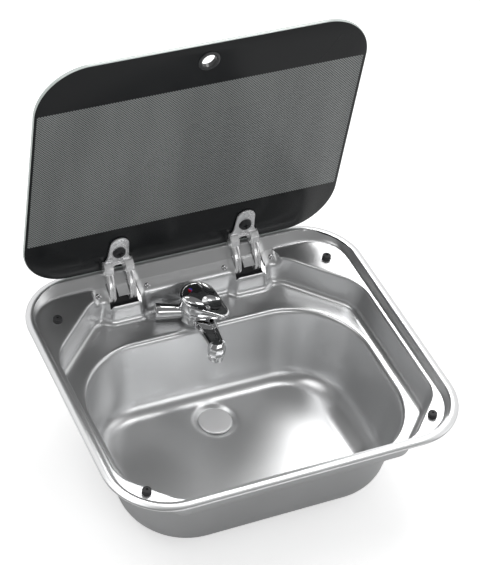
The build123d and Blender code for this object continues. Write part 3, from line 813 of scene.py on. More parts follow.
# ---------------------------------------------------------------------------------------------------
# Finishes
# ---------------------------------------------------------------------------------------------------
@dataclass
class Wiring:
    """Adds and links the nodes of one node tree."""

    tree: bpy.types.NodeTree

    def feed(self, socket: bpy.types.NodeSocket, value: object) -> None:
        """Link another node's output to a socket, or set the socket to a plain value."""
        if isinstance(value, bpy.types.NodeSocket):
            self.tree.links.new(value, socket)
        else:
            socket.default_value = value

    def add(self, kind: str, inputs: dict[str | int, object] | None = None, **settings: object) -> bpy.types.Node:
        """Add a node.

        Args:
            kind: The node's type, without its ShaderNode prefix.
            inputs: Values or outputs for its inputs, by name or number.
            **settings: The node's own settings.

        Returns:
            The node.
        """
        node = self.tree.nodes.new("ShaderNode" + kind)
        for name, value in settings.items():
            setattr(node, name, value)
        for name, value in (inputs or {}).items():
            self.feed(node.inputs[name], value)
        return node

    def math(self, operation: str, a: object, b: object = 0.0, c: object = 0.0,
             clamp: bool = False) -> bpy.types.NodeSocket:
        """One step of arithmetic; returns its result."""
        return self.add("Math", {0: a, 1: b, 2: c}, operation=operation, use_clamp=clamp).outputs[0]

    def vector(self, operation: str, a: object, b: object) -> bpy.types.NodeSocket:
        """One step of vector arithmetic; returns its result."""
        node = self.add("VectorMath", {0: a, 1: b}, operation=operation)
        return node.outputs["Value" if operation == "DOT_PRODUCT" else "Vector"]

    def noise(self, place: object, scale: object, detail: float = 2.0) -> bpy.types.NodeSocket:
        """Noise between 0 and 1 at a place."""
        return self.add("TexNoise", {"Vector": place, "Scale": scale, "Detail": detail}).outputs["Fac"]

    def step(self, value: object, low: float, high: float) -> bpy.types.NodeSocket:
        """A smooth rise.

        Args:
            value: What is looked at.
            low: Where the result is 0.
            high: Where the result is 1.

        Returns:
            The result's socket.
        """
        node = self.add(
            "MapRange", {"Value": value, "From Min": low, "From Max": high}, interpolation_type="SMOOTHSTEP"
        )
        return node.outputs["Result"]

    def blend(self, share: object, first: object, second: object) -> bpy.types.NodeSocket:
        """A colour between two others.

        Args:
            share: How much of the second there is, 0 to 1.
            first: The first colour.
            second: The second colour.

        Returns:
            The colour's socket.
        """
        node = self.add("Mix", data_type="RGBA")
        for index, value in ((0, share), (6, first), (7, second)):
            self.feed(node.inputs[index], value)
        return node.outputs[2]


def blank_material(name: str) -> tuple[bpy.types.Material, Wiring, bpy.types.Node]:
    """Start a node material.

    Args:
        name: The material's name.

    Returns:
        The material, its wiring and its Principled shader.
    """
    material = bpy.data.materials.new(name)
    material.use_nodes = True
    return material, Wiring(material.node_tree), material.node_tree.nodes["Principled BSDF"]


@dataclass(frozen=True)
class Effects:
    """The node groups that the finishes share."""

    grain: bpy.types.NodeTree
    tone: bpy.types.NodeTree

    @staticmethod
    def group(name: str, inputs: Sequence[tuple[str, float]], outputs: Sequence[str]) -> Wiring:
        """Start a group of number sockets.

        Args:
            name: The group's name.
            inputs: Each input's name and usual value.
            outputs: The outputs' names.

        Returns:
            The group's wiring, with nodes named in and out at its ends.
        """
        tree = bpy.data.node_groups.new(name, "ShaderNodeTree")
        for label, value in inputs:
            socket = tree.interface.new_socket(name=label, in_out="INPUT", socket_type="NodeSocketFloat")
            socket.default_value = value
        for label in outputs:
            tree.interface.new_socket(name=label, in_out="OUTPUT", socket_type="NodeSocketFloat")
        tree.nodes.new("NodeGroupInput").name = "in"
        tree.nodes.new("NodeGroupOutput").name = "out"
        return Wiring(tree)

    @classmethod
    def build(cls) -> "Effects":
        """Make the groups."""
        return cls(cls.grain_group(), cls.tone_group())

    @classmethod
    def grain_group(cls) -> bpy.types.NodeTree:
        """Fine surface grain with slow changes of gloss: a roughness and a height."""
        wiring = cls.group(
            "fine_grain",
            [("Scale", 900.0), ("Stretch", 1.0), ("Roughness", 0.3), ("Spread", 0.05), ("Patch Scale", 11.0)],
            ["Roughness", "Height"],
        )
        given, out = wiring.tree.nodes["in"].outputs, wiring.tree.nodes["out"].inputs
        place = wiring.add("TexCoord").outputs["Object"]
        stretch = wiring.add("CombineXYZ", {"X": given["Stretch"], "Y": 1.0, "Z": 1.0}).outputs[0]
        fine = wiring.noise(wiring.vector("MULTIPLY", place, stretch), given["Scale"], 3.0)
        patch = wiring.noise(place, given["Patch Scale"], 3.0)
        both = wiring.math("SUBTRACT", wiring.math("MULTIPLY_ADD", fine, 0.5, patch), 0.75)
        rough = wiring.math("MULTIPLY_ADD", both, given["Spread"], given["Roughness"])
        wiring.feed(out["Roughness"], rough)
        wiring.feed(out["Height"], fine)
        return wiring.tree

    @classmethod
    def tone_group(cls) -> bpy.types.NodeTree:
        """Slow changes of brightness over a surface: a factor from 0 to 1."""
        wiring = cls.group("slow_tone", [("Scale", 12.0), ("Contrast", 1.0)], ["Factor"])
        given = wiring.tree.nodes["in"].outputs
        place = wiring.add("TexCoord").outputs["Object"]
        centred = wiring.math("SUBTRACT", wiring.noise(place, given["Scale"], 4.0), 0.5)
        factor = wiring.math("MULTIPLY_ADD", centred, given["Contrast"], 0.5, clamp=True)
        wiring.feed(wiring.tree.nodes["out"].inputs["Factor"], factor)
        return wiring.tree


@dataclass(frozen=True)
class Finish:
    """One plain finish: two shades of a colour, its gloss and its grain."""

    name: str
    light: tuple[float, float, float]
    dark: tuple[float, float, float]
    metallic: float = 0.0
    roughness: float = 0.4
    spread: float = 0.08
    grain: float = 900.0
    stretch: float = 1.0
    bump_mm: float = 0.0
    coat: float = 0.0
    patch: float = 11.0
    coat_roughness: float = 0.06
    bump_strength: float = 0.7

    def make(self, effects: Effects) -> bpy.types.Material:
        """Build the node material.

        Args:
            effects: The shared node groups.

        Returns:
            The material.
        """
        material, wiring, shader = blank_material(self.name)
        shader.inputs["Metallic"].default_value = self.metallic
        shader.inputs["Coat Weight"].default_value = self.coat
        shader.inputs["Coat Roughness"].default_value = self.coat_roughness
        grain = wiring.add("Group", node_tree=effects.grain)
        for label, value in (
            ("Scale", self.grain), ("Stretch", self.stretch), ("Roughness", self.roughness),
            ("Spread", self.spread), ("Patch Scale", self.patch),
        ):
            grain.inputs[label].default_value = value
        wiring.feed(shader.inputs["Roughness"], grain.outputs["Roughness"])
        tone = wiring.add("Group", node_tree=effects.tone).outputs["Factor"]
        wiring.feed(shader.inputs["Base Color"], wiring.blend(tone, (*self.dark, 1.0), (*self.light, 1.0)))
        if self.bump_mm:
            depth = {"Strength": self.bump_strength, "Distance": self.bump_mm * MM}
            bump = wiring.add("Bump", {**depth, "Height": grain.outputs["Height"]})
            wiring.feed(shader.inputs["Normal"], bump.outputs["Normal"])
        return material


# Name, light shade, dark shade, metallic, roughness, spread, grain, stretch, bump and coat
FINISHES = (
    Finish("satin_steel", (0.79, 0.795, 0.80), (0.71, 0.715, 0.72), 0.93, 0.31, 0.05, 1500.0, 1.0, 0.012),
    Finish("drawn_steel", (0.55, 0.555, 0.56), (0.47, 0.475, 0.48), 1.0, 0.40, 0.06, 1200.0, 1.0, 0.012),
    Finish("plug_steel", (0.95, 0.95, 0.955), (0.90, 0.90, 0.905), 0.6, 0.36, 0.05, 1500.0, 1.0, 0.01),
    Finish("polished_chrome", (0.87, 0.875, 0.88), (0.83, 0.835, 0.84), 1.0, 0.045, 0.03, 300.0),
    Finish("cast_chrome", (0.98, 0.98, 0.985), (0.86, 0.86, 0.87), 0.72, 0.20, 0.10, 420.0, 1.0, 0.35, patch=60.0),
    Finish("bracket_chrome", (0.88, 0.88, 0.885), (0.76, 0.76, 0.77), 0.75, 0.28, 0.10, 420.0, 1.0, 0.10, patch=40.0),
    Finish("black_rubber", (0.030, 0.030, 0.032), (0.018, 0.018, 0.020), 0.0, 0.6, 0.1, 1200.0, 1.0, 0.02),
    Finish("black_moulding", (0.022, 0.022, 0.024), (0.012, 0.012, 0.014), 0.0, 0.40, 0.1, 1500.0, 1.0, 0.02),
    Finish("ring_moulding", (0.035, 0.036, 0.038), (0.022, 0.023, 0.024), 0.0, 0.16, 0.05, 1200.0),
    Finish("black_paint", (0.02, 0.02, 0.022), (0.012, 0.012, 0.013), 0.0, 0.35, 0.08, 1100.0, 1.0, 0.01, 0.2),
    Finish("ground_steel", (0.62, 0.62, 0.63), (0.50, 0.50, 0.51), 1.0, 0.25, 0.08, 1400.0, 6.0, 0.01),
    Finish("rivet_steel", (0.78, 0.78, 0.79), (0.66, 0.66, 0.67), 1.0, 0.16, 0.06, 900.0),
    Finish("turned_brass", (0.72, 0.55, 0.26), (0.58, 0.42, 0.18), 1.0, 0.3, 0.08, 900.0, 1.0, 0.01),
    Finish("drawn_copper", (0.75, 0.36, 0.22), (0.60, 0.27, 0.16), 1.0, 0.32, 0.1, 700.0, 1.0, 0.01),
    Finish("red_fibre", (0.28, 0.06, 0.035), (0.20, 0.04, 0.025), 0.0, 0.7, 0.1, 1500.0, 1.0, 0.02),
    Finish("grey_moulding", (0.60, 0.61, 0.61), (0.52, 0.53, 0.53), 0.0, 0.32, 0.05, 1200.0),
    Finish("glass_edge", (0.62, 0.67, 0.65), (0.52, 0.57, 0.55), 0.0, 0.10, 0.02, 600.0, coat=0.4),
)

CAD_FINISHES = {
    "black_rubber": ("rim_seal", "tap_gasket", "hinge_pads", "plug_seal"),
    "black_paint": ("hinge_housing_left", "hinge_housing_right"),
    "ground_steel": ("hinge_pin_left", "hinge_pin_right", "lever_pin"),
    "black_moulding": ("hinge_sleeves",),
    "red_fibre": ("friction_washers", "tap_washer"),
    "turned_brass": ("tap_nut", "lever_hub"),
    "drawn_copper": ("inlet_hot", "inlet_cold"),
    "index_print": ("index_mark",),
}


@dataclass(frozen=True)
class LidPrint:
    """The print on the glass: black bands above and below a panel of fine grey dots."""

    foot_y_mm: float = 178.0
    foot_z_mm: float = 3.9
    lean: tuple[float, float, float] = (0.0, -0.0792, 0.9969)
    panel_half_mm: float = 192.6
    panel_low_mm: float = 66.0
    panel_high_mm: float = 265.7
    edge_mm: float = 0.3
    dot_pitch_mm: float = 2.3
    dot_turn: float = 45.0
    dot_edge: tuple[float, float] = (0.50, 0.40)
    # Painted reflections: upright streaks in which the dots are drawn darker, with their size, edge and shade.
    reflection_streak_scale: tuple[float, float, float] = (0.020, 0.0022, 1.0)
    reflection_streak_edge: tuple[float, float] = (0.35, 0.70)
    reflection_streak_shade: float = 0.84
    # How much darker the print is drawn in reflected rays: painted shade in the lid's reflections.
    reflected_print_shade: float = 0.8
    roughness: float = 0.16
    smear: float = 0.10
    smear_scale: float = 9.0
    specular: float = 0.22
    black: tuple[float, float, float, float] = (0.0095, 0.0104, 0.0112, 1.0)
    grey: tuple[float, float, float, float] = (0.285, 0.300, 0.296, 1.0)

    def make(self) -> bpy.types.Material:
        """Build the printed glass's material."""
        material, wiring, shader = blank_material("printed_glass")
        place = wiring.add("TexCoord").outputs["Object"]
        foot = (self.foot_y_mm * self.lean[1] + self.foot_z_mm * self.lean[2]) * MM
        up = wiring.math("SUBTRACT", wiring.vector("DOT_PRODUCT", place, self.lean), foot)
        up = wiring.math("MULTIPLY", up, 1.0 / MM)
        across = wiring.math("MULTIPLY", wiring.add("SeparateXYZ", {0: place}).outputs["X"], 1.0 / MM)
        flat = wiring.add("CombineXYZ", {"X": across, "Y": up, "Z": 0.0}).outputs[0]
        smear = wiring.noise(place, self.smear_scale, 3.0)
        # Painted shade: rays that reflect the glass see the grey dots mostly black, which darkens the lid's reflection
        # in the steel.
        glossy = wiring.add("LightPath").outputs["Is Glossy Ray"]
        seen = wiring.math("MULTIPLY_ADD", glossy, -self.reflected_print_shade, 1.0)
        ink = wiring.math("MULTIPLY", self.panel(wiring, across, up), self.dots(wiring, flat))
        colour = wiring.blend(wiring.math("MULTIPLY", ink, seen), self.black, self.reflection_streaks(wiring, flat))
        wiring.feed(shader.inputs["Base Color"], colour)
        wiring.feed(shader.inputs["Roughness"], wiring.math("MULTIPLY_ADD", smear, self.smear, self.roughness))
        shader.inputs["Specular IOR Level"].default_value = self.specular
        return material

    def panel(self, wiring: Wiring, across: bpy.types.NodeSocket, up: bpy.types.NodeSocket) -> bpy.types.NodeSocket:
        """The dotted panel's mask.

        Args:
            wiring: The material's wiring.
            across: Millimetres from the middle.
            up: Millimetres up the glass.

        Returns:
            1 in the panel and 0 on the bands round it.
        """
        soft = self.edge_mm
        side = wiring.step(wiring.math("ABSOLUTE", across), self.panel_half_mm + soft, self.panel_half_mm - soft)
        low = wiring.step(up, self.panel_low_mm - soft, self.panel_low_mm + soft)
        high = wiring.step(up, self.panel_high_mm + soft, self.panel_high_mm - soft)
        return wiring.math("MULTIPLY", wiring.math("MULTIPLY", side, low), high)

    def dots(self, wiring: Wiring, flat: bpy.types.NodeSocket) -> bpy.types.NodeSocket:
        """The dots' mask.

        Args:
            wiring: The material's wiring.
            flat: Millimetres across and up the glass.

        Returns:
            1 in a dot and 0 between dots.
        """
        turn = (0.0, 0.0, math.radians(self.dot_turn))
        turned = wiring.add("Mapping", {"Vector": flat, "Rotation": turn}).outputs[0]
        pattern = {"Vector": turned, "Scale": 1.0 / self.dot_pitch_mm, "Randomness": 0.0}
        cells = wiring.add("TexVoronoi", pattern, voronoi_dimensions="2D")
        return wiring.step(cells.outputs["Distance"], *self.dot_edge)

    def reflection_streaks(self, wiring: Wiring, flat: bpy.types.NodeSocket) -> bpy.types.NodeSocket:
        """The dots' colour, a little darker in wide upright streaks, which are painted reflections in the glass.

        Args:
            wiring: The material's wiring.
            flat: Millimetres across and up the glass.

        Returns:
            The colour's socket.
        """
        drawn = wiring.add("Mapping", {"Vector": flat, "Scale": self.reflection_streak_scale}).outputs[0]
        darker = tuple(self.reflection_streak_shade * part for part in self.grey[:3]) + (1.0,)
        return wiring.blend(wiring.step(wiring.noise(drawn, 1.0), *self.reflection_streak_edge), darker, self.grey)


@dataclass(frozen=True)
class IndexPrint:
    """The hot and cold mark on the lever: half red, half blue."""

    middle_m: tuple[float, float, float]
    across: tuple[float, float, float] = (0.829, 0.559, 0.0)
    edge_m: float = 0.0001
    red: tuple[float, float, float, float] = (0.42, 0.02, 0.025, 1.0)
    blue: tuple[float, float, float, float] = (0.05, 0.07, 0.42, 1.0)

    def make(self) -> bpy.types.Material:
        """Build the mark's material."""
        material, wiring, shader = blank_material("index_print")
        place = wiring.add("TexCoord").outputs["Object"]
        side = wiring.vector("DOT_PRODUCT", wiring.vector("SUBTRACT", place, self.middle_m), self.across)
        cold = wiring.step(side, -self.edge_m, self.edge_m)
        wiring.feed(shader.inputs["Base Color"], wiring.blend(cold, self.red, self.blue))
        rough = wiring.math("MULTIPLY_ADD", wiring.noise(place, 1500.0), 0.08, 0.16)
        wiring.feed(shader.inputs["Roughness"], rough)
        return material


# ---------------------------------------------------------------------------------------------------
# The lid
# ---------------------------------------------------------------------------------------------------
@dataclass
class GlassLid:
    """The printed safety glass and its finger ring, measured up the glass from its foot."""

    finishes: Finishes
    width: float = 393.0
    height: float = 325.0
    corner: float = 60.0
    thickness: float = 4.0
    ground_edge: float = 0.7
    foot: tuple[float, float, float] = (0.0, 178.0, 3.9)
    normal: tuple[float, float, float] = (0.0, -0.99686, -0.07916)
    hinge_x: float = 80.0
    screw_up: float = 29.5
    screw_radius: float = 3.0
    finger_up: float = 301.0
    finger_radius: float = 10.4
    ring_radius: float = 12.5
    ring_bore: float = 9.0
    ring_lip: float = 1.2

    @property
    def face(self) -> Matrix:
        """The glass's front face: x across, y up the glass and z towards the sink."""
        return axes(self.foot, (1, 0, 0), self.normal)

    def build(self) -> None:
        """Make the pane and its finger ring."""
        self.pane()
        self.finger_ring()

    def pane(self) -> None:
        """Cut the pane with its round corners, ground edge and holes."""
        shape = bmesh.new()
        bmesh.ops.create_grid(shape, x_segments=1, y_segments=1, size=0.5)
        bmesh.ops.scale(shape, vec=(self.width, self.height, 1.0), verts=shape.verts)
        bmesh.ops.bevel(
            shape, geom=list(shape.verts), offset=self.corner, offset_type="OFFSET", segments=28, profile=0.5,
            affect="VERTICES", material=-1,
        )
        made = bmesh.ops.extrude_face_region(shape, geom=list(shape.faces))["geom"]
        rear = [item for item in made if isinstance(item, bmesh.types.BMVert)]
        bmesh.ops.translate(shape, vec=(0, 0, -self.thickness), verts=rear)
        bevel_edges(shape, self.ground_edge, 2)
        middle = self.face @ Matrix.Translation((0, self.height / 2, 0))
        bmesh.ops.transform(shape, matrix=middle, verts=shape.verts)
        piece = finish_mesh("lid_pane", shape, Body.LID, self.finishes["printed_glass"])
        piece.data.materials.append(self.finishes["glass_edge"])
        outwards = Vector(self.normal)
        for face in piece.data.polygons:
            face.material_index = 0 if abs(face.normal.dot(outwards)) > 0.95 else 1
        holes = bmesh.new()
        for x, up, radius in (
            (0.0, self.finger_up, self.finger_radius), (-self.hinge_x, self.screw_up, self.screw_radius),
            (self.hinge_x, self.screw_up, self.screw_radius),
        ):
            place = self.face @ Matrix.Translation((x, up, -self.thickness / 2))
            add_rod(holes, radius, 3 * self.thickness, place, 48)
        cut_with(piece, holes)
        sharpen(piece, 30.0)
        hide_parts("glass_lid")
        log.info("glass lid")

    def finger_ring(self) -> None:
        """Turn the moulded ring that lines the finger hole."""
        back = -self.thickness
        profile = (
            (self.ring_bore, 0.0, 0.0), (self.ring_bore, self.ring_lip, 0.5),
            (self.ring_radius, self.ring_lip, 0.8), (self.ring_radius, 0.0, 0.0), (self.finger_radius, 0.0, 0.0),
            (self.finger_radius, back, 0.0), (self.ring_radius, back, 0.0),
            (self.ring_radius, back - self.ring_lip, 0.8), (self.ring_bore, back - self.ring_lip, 0.5),
        )
        shape = bmesh.new()
        turn_profile(shape, profile, self.face @ Matrix.Translation((0, self.finger_up, 0)), 64, loop=True)
        piece = finish_mesh("finger_ring", shape, Body.LID, self.finishes["ring_moulding"], sharp=40.0)
        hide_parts("finger_grommet")
        log.info("finger ring")


class Side(Enum):
    """Which side of the lid a hinge is on, with the sign of its x."""

    LEFT = -1
    RIGHT = 1


@dataclass
class Hinge:
    """One swan-neck hinge: a cast bracket on the glass, its screw and cap, and the rivets of its housing."""

    finishes: Finishes
    side: Side
    lid: GlassLid
    pin: tuple[float, float] = (173.4, -7.3)
    pin_bore: float = 2.55
    eye_radius: float = 5.0
    arm_offset: float = 12.75
    arm_width: float = 8.6
    arm_thickness: float = 3.6
    groove: float = 0.8
    rib: float = 3.1
    arm_path: Outline = (
        (174.0, 10.0), (159.5, -1.0), (151.6, -16.0), (152.2, -23.0), (156.5, -25.6),
    )
    pad: float = 0.8
    plate: float = 2.6
    tongue_half: float = 11.8
    tongue_low: float = 21.0
    tongue_top: float = 51.5
    bracket_half: float = 17.2
    bar_low: float = 5.5
    bar_high: float = 14.5
    bar_low_corner: float = 2.0
    bar_high_corner: float = 3.4
    bar: float = 4.4
    arch: float = 6.4
    arch_drop: float = 1.5
    knuckle_side: Corners = (
        (0.8, -0.4, 0.5), (6.5, -0.6, 2.0), (12.0, 0.4, 1.5), (13.8, 3.6, 1.6), (9.6, 9.4, 3.0), (6.0, 14.8, 1.8),
        (0.8, 14.8, 0.3),
    )
    knuckle_width: float = 10.6
    knuckle_bend: float = 1.3
    # Painted shade: a black sheet under the arms stands in for the shade inside the hinge window; its half width and
    # its outline from the side.
    window_shade_half: float = 19.6
    window_shade_side: Corners = (
        (146.0, -30.2, 0.0), (152.6, -30.6, 2.5), (168.2, -14.2, 0.0), (167.4, -13.4, 0.0), (152.2, -29.2, 2.0),
        (146.0, -29.0, 0.0),
    )
    knob_radius: float = 7.4
    knob: float = 3.2
    cross_reach: float = 3.6
    cross_half: float = 0.75
    cross_depth: float = 1.7
    cross_turn: float = 14.0
    thread_gap: float = 0.1
    cap_radius: float = 8.0
    cap: float = 2.6
    rivet_offset: float = 30.6
    rivet_place: tuple[float, float] = (153.0, -11.52)
    rivet_profile: Corners = (
        (0.0, 0.15, 0.0), (1.05, 0.2, 0.1), (1.3, 0.95, 0.2), (2.1, 1.0, 0.4), (3.0, 0.35, 0.3),
        (3.0, 0.0, 0.0), (1.55, 0.0, 0.0), (1.55, -2.45, 0.0), (2.5, -2.5, 0.3), (2.5, -3.35, 0.4),
        (0.0, -3.4, 0.0),
    )
    panel_slope: float = 29.48

    @property
    def x(self) -> float:
        """The hinge's middle."""
        return self.side.value * self.lid.hinge_x

    @property
    def label(self) -> str:
        """The side's name, for the pieces' names."""
        return self.side.name.lower()

    @property
    def face(self) -> Matrix:
        """The glass's face with its x at the hinge's middle."""
        return self.lid.face @ Matrix.Translation((self.x, 0, 0))

    def build(self) -> None:
        """Make the bracket, the screw, the cap and the rivets."""
        self.tongue()
        self.swan_neck()
        self.window_shade_sheet()
        self.screw()
        self.cap_behind()
        self.rivets()
        log.info("%s hinge", self.label)

    def tongue(self) -> None:
        """The flat plate that the screw clamps to the glass."""
        top = self.tongue_top - self.tongue_half
        foot, waist = self.bracket_half - 0.6, self.tongue_half + 1.4
        right = [(foot, self.bar_low + 2.0), (foot, self.bar_high), (waist, self.tongue_low)]
        end = [
            (self.tongue_half * math.cos(turn), top + self.tongue_half * math.sin(turn))
            for turn in np.linspace(0.0, math.pi, 25)
        ]
        outline = right + end + [(-x, y) for x, y in reversed(right)]
        shape = bmesh.new()
        add_prism(shape, outline, self.pad, self.pad + self.plate, self.face)
        bevel_edges(shape, 0.9, 3, 60.0)
        chrome = self.finishes["bracket_chrome"]
        piece = finish_mesh(f"hinge_tongue_{self.label}", shape, Body.LID, chrome, sharp=50.0)
        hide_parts(f"hinge_arm_{self.label}")

    def bar_outline(self) -> list[tuple[float, float]]:
        """The cross bar with the arch between its legs."""
        reach = math.sqrt(self.arch ** 2 - self.arch_drop ** 2)
        half, low, high = self.bracket_half, self.bar_low, self.bar_high
        outline = rounded((
            (reach, low, 0.0), (half, low, self.bar_low_corner), (half, high, self.bar_high_corner),
            (-half, high, self.bar_high_corner), (-half, low, self.bar_low_corner), (-reach, low, 0.0),
        ), steps=5)
        turns = np.linspace(math.acos(-reach / self.arch), math.acos(reach / self.arch), 12)[1:-1]
        return outline + [
            (self.arch * math.cos(turn), low - self.arch_drop + self.arch * math.sin(turn)) for turn in turns
        ]

    def path(self, steps: int = 14) -> list[tuple[Vector, Vector]]:
        """The arm's middle line in the y-z plane.

        Args:
            steps: How many parts each of its two arcs has.

        Returns:
            Each point with the line's direction there.
        """
        start, high, mouth, low, turn = (Vector(point) for point in self.arm_path)
        points = arc_points(start, high, mouth, steps) + arc_points(mouth, low, turn, steps)[1:]
        pin = Vector(self.pin)
        short = pin + (turn - pin).normalized() * (self.eye_radius - 1.0)
        points += [turn.lerp(short, share) for share in (0.35, 0.7, 1.0)]
        row = []
        for index, point in enumerate(points):
            after, before = points[min(index + 1, len(points) - 1)], points[max(index - 1, 0)]
            row.append((point, (after - before).normalized()))
        return row

    def arm_section(self) -> list[tuple[float, float]]:
        """Across one arm: a rib along each side and a groove between them."""
        half, low, top = self.arm_width / 2, -self.arm_thickness / 2, self.arm_thickness / 2
        inner, floor = half - self.rib, top - self.groove
        return rounded((
            (-half, low, 0.7), (half, low, 0.7), (half, top, 1.1), (inner + 0.3, top, 0.6),
            (inner - 0.4, floor, 0.25), (-inner + 0.4, floor, 0.25), (-inner - 0.3, top, 0.6), (-half, top, 1.1),
        ), loop=True, steps=3)

    def swan_neck(self) -> None:
        """Sweep both arms from the cross bar down through the window and back to the pin."""
        shape = bmesh.new()
        add_prism(shape, self.bar_outline(), self.pad, self.pad + self.bar, self.face)
        bevel_edges(shape, 1.0, 3, 60.0)
        section = self.arm_section()
        half = self.arm_width / 2
        for side in (-1, 1):
            x = self.x + side * self.arm_offset
            self.knuckle(shape, side)
            rings = [
                placed(section, axes((x, point.x, point.y), (1, 0, 0), (0, way.x, way.y)))
                for point, way in self.path()
            ]
            wrap_grid(shape, rings, closed=True)
            eye = (
                (self.pin_bore, -half, 0.0), (self.pin_bore, half, 0.0), (self.eye_radius, half, 0.5),
                (self.eye_radius, -half, 0.5),
            )
            turn_profile(shape, eye, axes((x, *self.pin), (0, 1, 0), (1, 0, 0)), 36, loop=True)
        chrome = self.finishes["cast_chrome"]
        piece = finish_mesh(f"hinge_neck_{self.label}", shape, Body.LID, chrome, sharp=50.0)
        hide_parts(f"hinge_arm_{self.label}")

    def knuckle(self, shape: bmesh.types.BMesh, side: int) -> None:
        """The thick leg of the bracket that an arm grows out of, drawn from its side and given its width.

        Args:
            shape: The mesh to add to.
            side: -1 for the left arm and 1 for the right one.
        """
        outline = rounded(self.knuckle_side, loop=True, steps=4)
        foot = self.face @ Matrix.Translation((side * (self.arm_offset + 0.1), 0, 0))
        place = axes(foot.translation, foot.col[2][:3], -foot.col[0].xyz)
        known = set(shape.verts)
        add_prism(shape, outline, -self.knuckle_width / 2, self.knuckle_width / 2, place)
        made = [vert for vert in shape.verts if vert not in known]
        edges = {edge for vert in made for edge in vert.link_edges if edge.calc_face_angle(0.0) > 1.0}
        bmesh.ops.bevel(
            shape, geom=list(edges), offset=self.knuckle_bend, offset_type="OFFSET", segments=3, profile=0.5,
            affect="EDGES", material=-1, clamp_overlap=True,
        )

    def window_shade_sheet(self) -> None:
        """A black sheet under both arms, painted shade that stands in for the dark inside the window; it closes the
        view through the window and turns with the arms.
        """
        shape = bmesh.new()
        place = axes((self.x, 0, 0), (0, 1, 0), (1, 0, 0))
        add_prism(shape, rounded(self.window_shade_side, loop=True), -self.window_shade_half, self.window_shade_half, place)
        # Painted shade: the black sheet hides what lies beyond the window so the opening reads dark.
        black = self.finishes["black_moulding"]
        piece = finish_mesh(f"hinge_window_shade_{self.label}", shape, Body.LID, black, sharp=40.0)

    def screw(self) -> None:
        """The clamping screw: its moulded head with a cross recess, and its thread."""
        foot, high = self.pad + self.plate, self.pad + self.plate + self.knob
        thread, rear = self.lid.screw_radius - self.thread_gap, -self.lid.thickness - self.pad
        place = self.face @ Matrix.Translation((0, self.lid.screw_up, 0))
        shape = bmesh.new()
        turn_profile(shape, (
            (0.0, high, 0.0), (self.knob_radius - 0.7, high, 0.8), (self.knob_radius, foot, 0.3),
            (thread, foot, 0.0), (thread, rear, 0.0), (0.0, rear, 0.0),
        ), place, 48)
        black = self.finishes["black_moulding"]
        piece = finish_mesh(f"hinge_screw_{self.label}", shape, Body.LID, black)
        cross = bmesh.new()
        reach, half = self.cross_reach, self.cross_half
        outline = [(half, half), (reach, half), (reach, -half), (half, -half), (half, -reach), (-half, -reach)]
        outline += [(-x, -y) for x, y in outline]
        turned = place @ Matrix.Rotation(math.radians(self.cross_turn), 4, "Z")
        add_prism(cross, outline, high - self.cross_depth, high + 1.0, turned)
        cut_with(piece, cross)
        sharpen(piece, 40.0)
        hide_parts("hinge_screws")

    def cap_behind(self) -> None:
        """The cap over the screw's end behind the glass."""
        rear = -self.lid.thickness - self.pad
        place = self.face @ Matrix.Translation((0, self.lid.screw_up, 0))
        shape = bmesh.new()
        turn_profile(shape, (
            (0.0, rear, 0.0), (self.cap_radius, rear, 0.2), (self.cap_radius - 0.65, rear - self.cap + 0.4, 0.9),
            (0.0, rear - self.cap, 0.0),
        ), place, 48)
        black = self.finishes["black_moulding"]
        piece = finish_mesh(f"hinge_cap_{self.label}", shape, Body.LID, black, sharp=40.0)
        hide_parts("hinge_caps")

    def rivets(self) -> None:
        """The two blind rivets that hold the housing under the slanting panel."""
        shape = bmesh.new()
        slope = math.radians(self.panel_slope)
        outwards = (0, -math.sin(slope), math.cos(slope))
        for side in (-1, 1):
            place = axes((self.x + side * self.rivet_offset, *self.rivet_place), (1, 0, 0), outwards)
            turn_profile(shape, self.rivet_profile, place, 32)
        steel = self.finishes["rivet_steel"]
        piece = finish_mesh(f"hinge_rivets_{self.label}", shape, Body.SINK, steel, sharp=50.0)
        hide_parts("hinge_rivets")


@dataclass
class Buffers:
    """The four rubber discs that the closed lid rests on."""

    finishes: Finishes
    pressing: Pressing
    radius: float = 5.3
    stem: float = 2.95
    gap: float = 0.12

    def build(self) -> None:
        """Turn the four discs."""
        ledge = self.pressing.ledge
        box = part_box("lid_buffers")
        low, high = box[0][2] / MM - ledge, box[1][2] / MM - ledge - self.gap
        shape = bmesh.new()
        profile = (
            (0.0, high - 0.25, 0.0), (1.3, high - 0.25, 0.2), (1.7, high, 0.2), (self.radius - 0.6, high, 0.7),
            (self.radius, 0.0, 0.0), (self.stem, 0.0, 0.0), (self.stem, low, 0.6), (0.0, low, 0.0),
        )
        for x in (-self.pressing.buffer_x, self.pressing.buffer_x):
            for y in (self.pressing.buffer_front, self.pressing.buffer_back):
                turn_profile(shape, profile, Matrix.Translation((x, y, ledge)), 40)
        piece = finish_mesh("lid_buffer_discs", shape, Body.SINK, self.finishes["black_rubber"], sharp=50.0)
        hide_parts("lid_buffers")
        log.info("lid buffers from %.2f to %.2f", low, high)


@dataclass
class DrainPlug:
    """The loose steel plug in the drain."""

    finishes: Finishes
    pressing: Pressing
    radius: float = 19.5
    thickness: float = 1.4
    dome: float = 0.8

    def build(self) -> None:
        """Turn the plug's disc."""
        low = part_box("drain_plug")[0][2] / MM
        top = low + self.thickness
        shape = bmesh.new()
        turn_profile(shape, (
            (0.0, low, 0.0), (self.radius, low, 0.2), (self.radius, top - 0.5, 0.3), (self.radius - 1.2, top, 0.8),
            (self.radius * 0.6, top + 0.5, 0.0), (self.radius * 0.3, top + 0.72, 0.0), (0.0, top + self.dome, 0.0),
        ), Matrix.Translation((0, self.pressing.drain_y, 0)), 96)
        piece = finish_mesh("drain_plug_disc", shape, Body.PLUG, self.finishes["plug_steel"], sharp=60.0)
        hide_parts("drain_plug")
        log.info("drain plug from %.2f", low)


